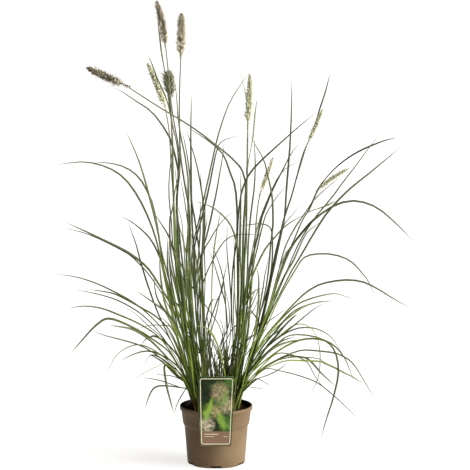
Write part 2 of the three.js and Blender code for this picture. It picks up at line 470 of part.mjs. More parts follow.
function makePot() {
  const outside = [
    [0, 0],
    [POT_FOOT_RADIUS - 2, 0],
    [POT_FOOT_RADIUS, 2],
    [POT_BODY_RADIUS, POT_STEP_FOOT],
    [POT_SHOULDER_RADIUS, POT_STEP_TOP],
    [POT_COLLAR_RADIUS, POT_LIP_FOOT],
    [POT_LIP_RADIUS, POT_LIP_FOOT + 0.6],
    [POT_LIP_RADIUS, POT_HEIGHT - 1],
    [POT_LIP_RADIUS - 1, POT_HEIGHT],
  ];
  const inside = POT_INSIDE.slice().reverse();
  const profile = [...outside, ...inside, [0, POT_FLOOR]].map(([r, z]) => new THREE.Vector2(r, z));
  const geometry = new THREE.LatheGeometry(profile, POT_SIDES);
  geometry.rotateX(Math.PI / 2);
  let pot = solidFromGeometry(geometry);
  for (let i = 0; i < 6; i += 1) {
    const turn = (i * Math.PI) / 3;
    const reach = POT_FOOT_RADIUS - NOTCH_DEPTH / 2 + 1;
    pot = pot.subtract(boxSolid(NOTCH_WIDTH, NOTCH_DEPTH, 2 * NOTCH_HEIGHT, [0, -reach, 0], turn));
    const angle = turn + Math.PI / 6;
    const x = DRAIN_CIRCLE * Math.cos(angle);
    const y = DRAIN_CIRCLE * Math.sin(angle);
    pot = pot.subtract(columnSolid(DRAIN_RADIUS, DRAIN_RADIUS, x, y, -1, POT_FLOOR + 1, 8));
  }
  return meshFromSolid('pot', pot, COLOURS.pot, 0.5);
}

// Soil: fills the pot to under the lip, lumpy on top, with holes for the crowns and the card's tongue

function soilTopHeight(x, y) {
  const coarse = Math.sin(x * 0.21 + 1.3) * Math.cos(y * 0.17 - 0.4);
  const fine = Math.sin(x * 0.47 - y * 0.39 + 2.1);
  return SOIL_TOP + SOIL_LUMP * (0.6 * coarse + 0.4 * fine);
}

function makeSoil() {
  const sides = 24;
  const rings = [18, 36, 54, 70];
  const position = [];
  const index = [];
  const addRing = (radius, height) => {
    const start = position.length / 3;
    for (let j = 0; j < sides; j += 1) {
      const angle = (2 * Math.PI * j) / sides;
      const x = radius * Math.cos(angle);
      const y = radius * Math.sin(angle);
      position.push(x, y, height === null ? soilTopHeight(x, y) : height);
    }
    return start;
  };
  const join = (a, b) => {
    for (let j = 0; j < sides; j += 1) {
      const k = (j + 1) % sides;
      index.push(a + j, b + j, b + k, a + j, b + k, a + k);
    }
  };
  position.push(0, 0, soilTopHeight(0, 0));
  let last = addRing(rings[0], null);
  for (let j = 0; j < sides; j += 1) index.push(0, last + j, last + ((j + 1) % sides));
  for (const radius of rings.slice(1)) {
    const next = addRing(radius, null);
    join(last, next);
    last = next;
  }
  // The soil follows the pot's wall down, a gap inside its flats
  const flat = Math.cos(Math.PI / POT_SIDES);
  const levels = [SOIL_TOP - 3, POT_STEP_TOP + 1, POT_STEP_FOOT - 1, POT_FLOOR + GAP];
  for (const level of levels) {
    const next = addRing(potInsideRadius(level - 1) * flat - GAP, level);
    join(last, next);
    last = next;
  }
  const foot = position.length / 3;
  position.push(0, 0, POT_FLOOR + GAP);
  for (let j = 0; j < sides; j += 1) index.push(foot, last + ((j + 1) % sides), last + j);
  let soil = solidFromLists(position, index);
  for (const [x, y] of Object.values(TUFTS)) {
    const radius = CROWN_RADIUS + 2 * GAP;
    soil = soil.subtract(columnSolid(radius, radius, x, y, CROWN_FOOT - GAP, SOIL_TOP + 20));
  }
  const notchDepth = 30;
  const notchCentre = [CARD_CENTRE_X, TONGUE_FOOT_Y + 1 - notchDepth / 2, TONGUE_FOOT_Z - 1 + 25];
  soil = soil.subtract(boxSolid(TONGUE_WIDTH + 1.4, notchDepth, 50, notchCentre));
  return meshFromSolid('soil', soil, COLOURS.soil, 0.95);
}

// Hang card: a tapering card outside the rim, with a tongue over the rim and down inside

const CARD_BACK_Y = -(POT_LIP_RADIUS + GAP);
const TONGUE_FOOT_Y = -75;
const TONGUE_FOOT_Z = 106;

function makeCard() {
  const outline = new THREE.Shape();
  const corners = [
    [-CARD_FOOT_WIDTH / 2, CARD_FOOT],
    [CARD_FOOT_WIDTH / 2, CARD_FOOT],
    [CARD_TOP_WIDTH / 2, CARD_TOP],
    [-CARD_TOP_WIDTH / 2, CARD_TOP],
  ].map(([x, z]) => new THREE.Vector2(x, z));
  for (let i = 0; i < 4; i += 1) {
    const corner = corners[i];
    const before = corners[(i + 3) % 4].clone().sub(corner).setLength(CARD_CORNER).add(corner);
    const after = corners[(i + 1) % 4].clone().sub(corner).setLength(CARD_CORNER).add(corner);
    if (i === 0) outline.moveTo(before.x, before.y);
    else outline.lineTo(before.x, before.y);
    outline.quadraticCurveTo(corner.x, corner.y, after.x, after.y);
  }
  outline.closePath();
  const options = { depth: CARD_THICKNESS, bevelEnabled: false, curveSegments: 4 };
  const geometry = new THREE.ExtrudeGeometry(outline, options);
  geometry.rotateX(Math.PI / 2);
  geometry.translate(CARD_CENTRE_X, CARD_BACK_Y, 0);
  const bridgeFoot = POT_HEIGHT + GAP;
  const bridgeTop = bridgeFoot + CARD_THICKNESS;
  const innerY = -78;
  const side = new THREE.Shape([
    [CARD_BACK_Y - CARD_THICKNESS / 2, bridgeFoot],
    [innerY - CARD_THICKNESS, bridgeFoot],
    [TONGUE_FOOT_Y - CARD_THICKNESS, TONGUE_FOOT_Z],
    [TONGUE_FOOT_Y, TONGUE_FOOT_Z],
    [innerY, bridgeTop],
    [CARD_BACK_Y - CARD_THICKNESS / 2, bridgeTop],
  ].map(([y, z]) => new THREE.Vector2(y, z)));
  const tongue = new THREE.ExtrudeGeometry(side, { depth: TONGUE_WIDTH, bevelEnabled: false });
  tongue.rotateX(Math.PI / 2);
  tongue.rotateZ(Math.PI / 2);
  tongue.translate(CARD_CENTRE_X - TONGUE_WIDTH / 2, 0, 0);
  const card = solidFromGeometry(geometry).add(solidFromGeometry(tongue));
  return meshFromSolid('plant_card', card, COLOURS.card, 0.4);
}

// Spines: a smooth curve through drawn points, set back or forward in depth

function placeInDepth(x, z, y) {
  const k = (y - VIEW.y) / -VIEW.y;
  return new THREE.Vector3(VIEW.x + (x - VIEW.x) * k, y, VIEW.z + (z - VIEW.z) * k);
}

// Where a point looks to be from the standing point, as x and z of the middle plane
function seenAt(point) {
  const k = -VIEW.y / (point.y - VIEW.y);
  return new THREE.Vector2(VIEW.x + (point.x - VIEW.x) * k, VIEW.z + (point.z - VIEW.z) * k);
}

function smoothLine(points) {
  const line = [];
  const steps = 8;
  const first = points[0].clone().multiplyScalar(2).sub(points[1]);
  const last = points[points.length - 1].clone().multiplyScalar(2).sub(points[points.length - 2]);
  const all = [first, ...points, last];
  for (let i = 1; i < all.length - 2; i += 1) {
    const [p0, p1, p2, p3] = all.slice(i - 1, i + 3);
    for (let j = 0; j < steps; j += 1) {
      const t = j / steps;
      const h1 = ((1 - t) * (1 - t)) * (1 + 2 * t);
      const h2 = t * (1 - t) * (1 - t);
      const h3 = t * t * (3 - 2 * t);
      const h4 = t * t * (t - 1);
      const mix = (k) => h1 * p1[k] + h2 * 0.5 * (p2[k] - p0[k]) + h3 * p2[k] + h4 * 0.5 * (p3[k] - p1[k]);
      line.push(new THREE.Vector3(mix('x'), mix('y'), mix('z')));
    }
  }
  line.push(points[points.length - 1].clone());
  return line;
}

// Picks few stations along a fine line: closer together where it turns
const TURN_WEIGHT = 170;
function stationsAlong(line, count) {
  const weight = [0];
  for (let i = 1; i < line.length; i += 1) {
    let step = line[i].distanceTo(line[i - 1]);
    if (i > 1) {
      const before = line[i - 1].clone().sub(line[i - 2]).normalize();
      const after = line[i].clone().sub(line[i - 1]).normalize();
      step += TURN_WEIGHT * before.distanceTo(after);
    }
    weight.push(weight[i - 1] + step);
  }
  const total = weight[weight.length - 1];
  const picked = [];
  let i = 1;
  for (let n = 0; n < count; n += 1) {
    const goal = (total * n) / (count - 1);
    while (i < line.length - 1 && weight[i] < goal) i += 1;
    const t = (goal - weight[i - 1]) / (weight[i] - weight[i - 1]);
    picked.push(line[i - 1].clone().lerp(line[i], Math.min(1, Math.max(0, t))));
  }
  return { points: picked, total };
}

function drawnSpine(root, drawn, lean, bow) {
  const flat = [new THREE.Vector2(root.x, root.z)];
  for (let i = 0; i < drawn.length; i += 2) flat.push(new THREE.Vector2(drawn[i], drawn[i + 1]));
  const length = [0];
  for (let i = 1; i < flat.length; i += 1) length.push(length[i - 1] + flat[i].distanceTo(flat[i - 1]));
  const total = length[length.length - 1];
  const points = [root.clone()];
  for (let i = 1; i < flat.length; i += 1) {
    const s = length[i] / total;
    const u = Math.sqrt(s);
    const y = root.y + lean * s * u + bow * 4 * u * (1 - u);
    points.push(placeInDepth(flat[i].x, flat[i].y, y));
  }
  return points;
}

function spineStations(points, coarse) {
  const line = smoothLine(points);
  const { total } = stationsAlong(line, 2);
  const count = Math.min(12, Math.max(4, Math.round(total / coarse) + 1));
  return stationsAlong(line, count).points;
}

// Room between blades: each placed stretch of a blade keeps others off

const placed = [];

function segmentDistance(p1, q1, p2, q2) {
  const d1 = q1.clone().sub(p1);
  const d2 = q2.clone().sub(p2);
  const r = p1.clone().sub(p2);
  const a = d1.dot(d1);
  const e = d2.dot(d2);
  const f = d2.dot(r);
  const c = d1.dot(r);
  const b = d1.dot(d2);
  const denom = a * e - b * b;
  let s = denom > 1e-9 ? Math.min(1, Math.max(0, (b * f - c * e) / denom)) : 0;
  let t = (b * s + f) / e;
  if (t < 0) {
    t = 0;
    s = Math.min(1, Math.max(0, -c / a));
  } else if (t > 1) {
    t = 1;
    s = Math.min(1, Math.max(0, (b - c) / a));
  }
  const near = p1.clone().addScaledVector(d1, s);
  const far = p2.clone().addScaledVector(d2, t);
  return near.distanceTo(far);
}

function isClear(stations, radii, owner) {
  for (let i = 1; i < stations.length; i += 1) {
    const radius = Math.max(radii[i - 1], radii[i]);
    const low = stations[i - 1].clone().min(stations[i]).subScalar(radius + BLADE_CLEARANCE);
    const high = stations[i - 1].clone().max(stations[i]).addScalar(radius + BLADE_CLEARANCE);
    for (const other of placed) {
      if (other.owner === owner) continue;
      if (other.low.x > high.x || other.high.x < low.x) continue;
      if (other.low.y > high.y || other.high.y < low.y) continue;
      if (other.low.z > high.z || other.high.z < low.z) continue;
      const gap = segmentDistance(stations[i - 1], stations[i], other.start, other.end);
      if (gap < radius + other.radius + BLADE_CLEARANCE) return false;
    }
  }
  return true;
}

function keepPlace(stations, radii, owner) {
  for (let i = 1; i < stations.length; i += 1) {
    const start = stations[i - 1];
    const end = stations[i];
    const radius = Math.max(radii[i - 1], radii[i]);
    const low = start.clone().min(end).subScalar(radius);
    const high = start.clone().max(end).addScalar(radius);
    placed.push({ start, end, radius, low, high, owner });
  }
}

const LEAN_TRIES = [0, 30, -30, 60, -60, 95, -95, 130, -130, 170, -170];
const BOW_TRIES = [0, 8, -8, 16, -16, 26, -26, 38, -38];

// A drawn blade is leant and bowed a little more, in depth alone, until it is clear of its neighbours
function clearDrawn(root, drawn, lean, radiusAt, coarse, owner) {
  for (const more of LEAN_TRIES) {
    for (const bow of BOW_TRIES) {
      const points = drawnSpine(root, drawn, lean + more, bow);
      if (points.some((p) => p.z < 8 || Math.abs(p.y) > 330)) continue;
      const stations = spineStations(points, coarse);
      const radii = stations.map((_, i) => radiusAt(i / (stations.length - 1)));
      if (isClear(stations, radii, owner)) return { points, stations, radii };
    }
  }
  return null;
}

// Blades and culms: a section swept along the stations

function bladeWidth(widest, s) {
  if (s < 0.3) return widest * (0.6 + (0.4 * s) / 0.3);
  return widest * (1 - 0.78 * ((s - 0.3) / 0.7) ** 1.7);
}

function sweep(stations, turn, sectionAt) {
  const position = [];
  const index = [];
  const last = stations.length - 1;
  const sides = sectionAt(0).length;
  const width = new THREE.Vector3(Math.cos(turn), Math.sin(turn), 0);
  for (let i = 0; i <= last; i += 1) {
    const along = stations[Math.min(last, i + 1)].clone().sub(stations[Math.max(0, i - 1)]).normalize();
    // The width is carried from station to station, so that the section never turns over
    width.addScaledVector(along, -width.dot(along)).normalize();
    const normal = along.clone().cross(width);
    for (const [across, out] of sectionAt(i / last)) {
      const point = stations[i].clone();
      point.addScaledVector(width, across).addScaledVector(normal, out);
      position.push(point.x, point.y, point.z);
    }
  }
  for (let i = 0; i < last; i += 1) {
    for (let j = 0; j < sides; j += 1) {
      const k = (j + 1) % sides;
      const a = i * sides;
      const b = a + sides;
      index.push(a + j, a + k, b + k, a + j, b + k, b + j);
    }
  }
  const end = last * sides;
  for (let j = 1; j < sides - 1; j += 1) {
    index.push(0, j + 1, j);
    index.push(end, end + j, end + j + 1);
  }
  return solidFromLists(position, index);
}

function bladeSolid(stations, widest, turn) {
  return sweep(stations, turn, (s) => {
    const width = bladeWidth(widest, s);
    const keel = Math.max(0.75, 0.3 * width);
    return [[-width / 2, keel / 3], [0, -2 * keel / 3], [width / 2, keel / 3]];
  });
}

function culmSolid(stations) {
  return sweep(stations, 0, (s) => {
    const r = CULM_RADIUS * (1 - 0.3 * s);
    return [[-r, 0], [0, -r], [r, 0], [0, r]];
  });
}

// Seed heads: a slim core raised all over into overlapping spikelets

function headSolid(base, tip, spec) {
  const axis = tip.clone().sub(base);
  const middle = base.clone().add(tip).multiplyScalar(0.5);
  middle.x += 2 * spec.bow;
  const spine = (s) => {
    const a = base.clone().multiplyScalar((1 - s) * (1 - s));
    return a.addScaledVector(middle, 2 * s * (1 - s)).addScaledVector(tip, s * s);
  };
  const along = axis.clone().normalize();
  const sideways = new THREE.Vector3(0, 1, 0).addScaledVector(along, -along.y).normalize();
  const normal = along.clone().cross(sideways);
  const swell = (s) => {
    const rise = Math.min(1, s / 0.14);
    const fall = Math.min(1, Math.sqrt(Math.max(0.02, (1.02 - s) / 0.3)));
    return 0.3 + 0.7 * rise * fall;
  };
  const at = (s, turns, radius) => {
    const angle = 2 * Math.PI * turns;
    const point = spine(s);
    point.addScaledVector(sideways, radius * Math.cos(angle));
    return point.addScaledVector(normal, radius * Math.sin(angle));
  };
  const { rows, columns } = spec;
  const core = spec.radius * 0.66;
  const position = [];
  const index = [];
  const add = (p) => position.push(p.x, p.y, p.z) / 3 - 1;
  const ring = [];
  for (let i = 0; i <= rows; i += 1) {
    const s = i / (rows + 0.6);
    ring.push([]);
    for (let j = 0; j < columns; j += 1) {
      ring[i].push(add(at(s, (j + 0.5 * (i % 2)) / columns, core * swell(s))));
    }
  }
  const vertex = (i, j) => ring[i][(j + columns) % columns];
  for (let i = 0; i + 2 <= rows; i += 1) {
    const s = (i + 1.45) / (rows + 0.6);
    for (let j = 0; j < columns; j += 1) {
      const turns = (j + 0.5 * (i % 2)) / columns;
      const point = add(at(s, turns, spec.radius * swell(s)));
      const left = vertex(i + 1, i % 2 ? j : j - 1);
      const right = vertex(i + 1, i % 2 ? j + 1 : j);
      index.push(vertex(i, j), right, point, right, vertex(i + 2, j), point);
      index.push(vertex(i + 2, j), left, point, left, vertex(i, j), point);
    }
  }
  const top = add(at(1, 0, 0));
  for (let j = 0; j < columns; j += 1) {
    index.push(vertex(0, j), vertex(0, j + 1), vertex(1, j));
    const left = vertex(rows, rows % 2 ? j - 1 : j);
    const right = vertex(rows, rows % 2 ? j : j + 1);
    index.push(vertex(rows - 1, j), right, left);
    index.push(left, right, top);
  }
  for (let j = 1; j < columns - 1; j += 1) index.push(vertex(0, 0), vertex(0, j + 1), vertex(0, j));
  return solidFromLists(position, index);
}

// The plant is grown in order: crowns, culms with their heads, drawn blades, then the filling blades

const group = new THREE.Group();
const solids = {};
const culmSpines = {};

function addToTuft(tuft, solid) {
  solids[tuft] = solids[tuft].add(solid);
}

function crownPoint(tuft, turns, radius, z) {
  const [x, y] = TUFTS[tuft];
  const angle = 2 * Math.PI * turns;
  return new THREE.Vector3(x + radius * Math.cos(angle), y + radius * Math.sin(angle), z);
}

const shootCount = {};
function nextRoot(tuft) {
  shootCount[tuft] = (shootCount[tuft] || 0) + 1;
  return crownPoint(tuft, shootCount[tuft] * 0.382, 1.9, CROWN_TOP - 16);
}

function growCrowns() {
  for (const [tuft, [x, y]] of Object.entries(TUFTS)) {
    solids[tuft] = columnSolid(CROWN_TOP_RADIUS, CROWN_RADIUS, x, y, CROWN_FOOT, CROWN_TOP);
    const ends = [new THREE.Vector3(x, y, CROWN_FOOT), new THREE.Vector3(x, y, CROWN_TOP)];
    keepPlace(ends, [CROWN_RADIUS, CROWN_TOP_RADIUS], tuft);
  }
}

function growCulms() {
  for (const [number, [tuft, lean, drawn]] of Object.entries(CULMS)) {
    const radiusAt = () => CULM_RADIUS;
    const root = nextRoot(tuft);
    const found = clearDrawn(root, drawn, lean, radiusAt, CULM_STATION_STEP, tuft);
    const { stations } = found;
    const top = stations[stations.length - 1];
    const spec = HEADS[number];
    const tip = placeInDepth(...spec.tip, top.y + (top.y - stations[stations.length - 2].y) * 0.6);
    const base = top.clone().addScaledVector(tip.clone().sub(top).normalize(), GAP);
    culmSpines[number] = stations;
    addToTuft(tuft, culmSolid(stations));
    keepPlace(stations, found.radii, tuft);
    keepPlace([base.clone().lerp(tip, 0.04), tip], [spec.radius, spec.radius], `head_${number}`);
    group.add(meshFromSolid(`seed_head_${number}`, headSolid(base, tip, spec), spec.colour, 0.9));
  }
}

function growCulmLeaves() {
  CULM_LEAVES.forEach(([number, lean, drawn], i) => {
    const [tuft] = CULMS[number];
    const start = new THREE.Vector2(drawn[0], drawn[1]);
    let root = null;
    for (const point of culmSpines[number]) {
      const away = seenAt(point).distanceTo(start);
      if (root === null || away < root.away) root = { point, away };
    }
    const radiusAt = (s) => bladeWidth(CULM_LEAF_WIDTH, s) / 2;
    const found = clearDrawn(root.point, drawn.slice(2), lean, radiusAt, BLADE_STATION_STEP, tuft);
    if (found === null) return;
    const turn = 0.3 * ((i % 5) - 2);
    addToTuft(tuft, bladeSolid(found.stations, CULM_LEAF_WIDTH, turn));
    keepPlace(found.stations, found.radii, tuft);
  });
}

function growDrawnBlades() {
  for (const [tuft, widest, lean, drawn] of BLADES) {
    const radiusAt = (s) => bladeWidth(widest, s) / 2;
    const found = clearDrawn(nextRoot(tuft), drawn, lean, radiusAt, BLADE_STATION_STEP, tuft);
    if (found === null) continue;
    addToTuft(tuft, bladeSolid(found.stations, widest, random(-0.6, 0.6)));
    keepPlace(found.stations, found.radii, tuft);
  }
}

function archedPoints(root, azimuth, length, startTilt, endTilt) {
  const points = [root.clone()];
  const steps = 5;
  for (let i = 0; i < steps; i += 1) {
    const s = (i + 0.5) / steps;
    const tilt = startTilt + (endTilt - startTilt) * s ** 1.5;
    const flat = Math.sin(tilt);
    const step = new THREE.Vector3(flat * Math.cos(azimuth), flat * Math.sin(azimuth), Math.cos(tilt));
    points.push(points[i].clone().addScaledVector(step, length / steps));
  }
  return points;
}

// Whether a filling blade stays within the dense tussock as seen from the front
function staysInOutline(points) {
  const top = FILL_OUTLINE.length - 1;
  return points.every((point) => {
    const seen = seenAt(point);
    let i = 1;
    while (i < top && seen.y > FILL_OUTLINE[i][0]) i += 1;
    const [low, high] = [FILL_OUTLINE[i - 1], FILL_OUTLINE[i]];
    const t = Math.min(1, Math.max(0, (seen.y - low[0]) / (high[0] - low[0])));
    const least = low[1] + (high[1] - low[1]) * t;
    const greatest = low[2] + (high[2] - low[2]) * t;
    return seen.x > least && seen.x < greatest && Math.abs(point.y) < FILL_DEPTH;
  });
}

function growFillingBlades() {
  for (const [tuft, [x, y]] of Object.entries(TUFTS)) {
    const outward = Math.atan2(2.2 * (y - 6), x);
    const side = tuft.split('_')[0];
    for (let n = 0; n < FILL_PER_TUFT[side]; n += 1) {
      const root = nextRoot(tuft);
      const azimuth = outward + random(-0.9, 0.9);
      const length = side === 'middle' ? random(180, 260) : random(330, 560);
      const startTilt = random(0.08, 0.3);
      const endTilt = random(0.7, 1.9);
      const widest = random(3.6, 4.8);
      const turn = random(-0.9, 0.9);
      for (let k = 0; k < 16; k += 1) {
        const swing = (k % 2 ? 1 : -1) * Math.ceil(k / 2) * 0.2;
        const points = archedPoints(root, azimuth + swing, length, startTilt, endTilt);
        if (!staysInOutline(points)) continue;
        const stations = spineStations(points, BLADE_STATION_STEP);
        const radii = stations.map((_, i) => bladeWidth(widest, i / (stations.length - 1)) / 2);
        if (!isClear(stations, radii, tuft)) continue;
        addToTuft(tuft, bladeSolid(stations, widest, turn));
        keepPlace(stations, radii, tuft);
        break;
      }
    }
  }
}

growCrowns();
for (let across = -0.5; across <= 0.5; across += 0.125) {
  const foot = new THREE.Vector3(CARD_CENTRE_X + across * CARD_TOP_WIDTH, CARD_BACK_Y, CARD_FOOT);
  keepPlace([foot, foot.clone().setZ(CARD_TOP)], [3, 3], 'card');
}
growCulms();
growCulmLeaves();
growDrawnBlades();
growFillingBlades();
for (const [tuft, solid] of Object.entries(solids)) {
  group.add(meshFromSolid(`tuft_${tuft}`, solid, COLOURS.foliage, 0.6));
}
group.add(makePot(), makeSoil(), makeCard());

export default group;
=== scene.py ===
"""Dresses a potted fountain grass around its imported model: leaves, culms, seed heads, soil, pot and card.

The grass is grown again by the same rule as the solids, from the same drawn routes, only finer, so every
leaf and head lies where its solid does. Routes and sizes are in millimetres but where a comment says
otherwise, and the meshes are in metres.
"""

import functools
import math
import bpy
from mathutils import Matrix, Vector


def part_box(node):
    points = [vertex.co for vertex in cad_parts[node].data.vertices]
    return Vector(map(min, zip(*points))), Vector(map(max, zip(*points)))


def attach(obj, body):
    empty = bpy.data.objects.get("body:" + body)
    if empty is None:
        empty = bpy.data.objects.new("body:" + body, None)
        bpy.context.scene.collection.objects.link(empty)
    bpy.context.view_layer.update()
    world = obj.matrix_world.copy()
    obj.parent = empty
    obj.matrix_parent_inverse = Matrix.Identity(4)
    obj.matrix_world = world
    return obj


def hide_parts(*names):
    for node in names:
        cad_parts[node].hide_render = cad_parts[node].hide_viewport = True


bl_info = {
    "name": "Potted Fountain Grass",
    "version": (1, 0, 0),
    "blender": (4, 5, 0),
    "location": "View3D > Sidebar > Grass",
    "description": "Leaves, seed heads, soil, pot and hang card of a potted fountain grass",
    "category": "Object",
}

import bpy
import numpy as np
from bpy.props import FloatProperty, FloatVectorProperty, IntProperty, PointerProperty
from mathutils import Vector

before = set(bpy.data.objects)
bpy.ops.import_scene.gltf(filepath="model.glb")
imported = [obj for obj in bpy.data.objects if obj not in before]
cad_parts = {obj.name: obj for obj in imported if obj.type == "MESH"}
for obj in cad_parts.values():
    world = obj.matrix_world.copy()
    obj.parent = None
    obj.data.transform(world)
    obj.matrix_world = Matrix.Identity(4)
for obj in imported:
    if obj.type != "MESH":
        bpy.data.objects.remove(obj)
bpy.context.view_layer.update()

MM = 0.001
GOLDEN_TURN = math.pi * (3 - math.sqrt(5))

# The leaves are drawn as they look from one standing point, in millimetres
VIEW_X, VIEW_Y, VIEW_Z = 45.0, -4500.0, 1125.0
VIEW_PITCH = math.radians(7.303)
VIEW_FOCAL_PIXELS = 1921.0
PICTURE_PIXELS = 470.0
SENSOR_MM = 36.0

# Routes are read off the picture, as pairs of x and z in the plane through the pot's axis

# Where the tufts stand in the soil, as x and y
TUFTS = {
  "left_1": (-52, -20),
  "left_2": (-57, 5),
  "left_3": (-48, 29),
  "left_4": (-36, -8),
  "left_5": (-34, 16),
  "left_6": (-23, 38),
  "middle_1": (-14, -22),
  "middle_2": (-11, 8),
  "middle_3": (10, -6),
  "middle_4": (6, 28),
  "right_1": (30, -24),
  "right_2": (33, 3),
  "right_3": (30, 32),
  "right_4": (50, -14),
  "right_5": (56, 10),
  "right_6": (48, 34),
}

# The flowering culms: tuft, depth of the top, then x and z from the soil up
CULMS = {
  1: ["left_4", -40, [-62, 230, -78, 320, -88, 400, -95, 480, -98, 560, -100, 660, -102, 760, -106,
    860, -111, 935, -117.5, 997]],
  2: ["left_5", 60, [-50, 230, -57, 320, -62, 420, -62, 500, -61, 560, -63, 610, -68, 640, -73, 668,
    -78, 700, -83, 738, -85, 800, -85, 870, -83, 930, -81, 973]],
  3: ["right_2", -60, [48, 240, 55, 320, 60, 400, 63, 480, 65, 560, 69, 630, 70, 670, 62, 701, 46, 722,
    22, 744, 0, 761, -30, 785, -60, 806, -90, 825, -124, 845, -165, 871, -214, 903]],
  4: ["left_3", 110, [-58, 240, -74, 340, -86, 440, -94, 540, -100, 640, -105, 720, -109, 790, -115,
    830, -120, 855]],
  5: ["left_2", -10, [-64, 250, -76, 360, -86, 480, -91, 570, -91, 640, -86, 690, -85, 725, -89, 765,
    -97, 810, -103, 850, -106, 880]],
  6: ["right_2", 20, [55, 240, 62, 310, 66, 380, 66, 450, 69, 520, 72, 580, 73, 660, 74, 715, 75, 770,
    75, 815]],
  7: ["right_4", -90, [86, 250, 104, 320, 118, 380, 130, 440, 142, 500, 152, 550, 163, 595, 178, 640,
    190, 685, 204, 738, 218, 771]],
  8: ["right_3", 80, [62, 240, 76, 320, 82, 400, 87, 470, 92, 530, 96, 590, 101, 630, 106, 652]],
  9: ["right_6", 90, [84, 245, 104, 300, 122, 355, 138, 410, 150, 450, 162, 485, 178, 520, 190, 550,
    204, 583, 222, 612, 236, 645, 243, 659]],
}

# The seed heads: tip as x and z, radius, how far the middle bows, number of spikelets, ripeness, how far it
# is darkened
HEADS = {
  1: ((-137, 1096), 7.2, 2.0, 400, 0.95, 0.0),
  2: ((-79, 1067), 8.2, 0.0, 430, 0.7, 0.0),
  3: ((-300, 942), 7.4, -2.0, 400, 1.0, 0.45),
  4: ((-159, 952), 6.4, 1.5, 400, 0.2, 0.0),
  5: ((-112, 932), 9.4, 0.0, 380, 0.3, 0.8),
  6: ((80, 926), 6.8, 1.0, 380, 0.08, 0.0),
  7: ((250, 846), 4.2, 1.0, 300, 0.0, 0.0),
  8: ((134, 732), 4.6, 1.0, 280, 0.1, 0.0),
  9: ((312, 706), 4.8, -4.0, 280, 0.05, 0.0),
}

# Leaves on the culms: culm, depth of the tip against the culm's, then x and z from the culm out
CULM_LEAVES = [
  [1, -60, [-98, 690, -101, 760, -103, 810, -107, 840, -114, 866, -126, 893, -138, 917, -148, 944,
    -159, 973]],
  [1, 50, [-107, 850, -114, 905, -122, 950, -128, 985, -132, 1020, -136, 1050]],
  [5, -30, [-87, 720, -92, 762, -101, 806, -107, 850, -112, 885, -118, 915, -124, 929, -133, 928]],
  [6, 50, [75, 705, 80, 742, 86, 778, 90, 805, 93, 830, 97, 870]],
  [6, -40, [73, 640, 72, 700, 73, 780, 72, 850, 69, 885, 65, 908, 59, 945]],
  [7, 60, [200, 720, 214, 760, 232, 812, 243, 850, 255, 885, 268, 930]],
  [9, -70, [225, 620, 240, 655, 262, 685, 284, 709, 308, 729, 336, 747, 368, 762, 398, 773, 425, 779]],
  [9, 20, [214, 600, 222, 605, 240, 611, 262, 619, 282, 630]],
]

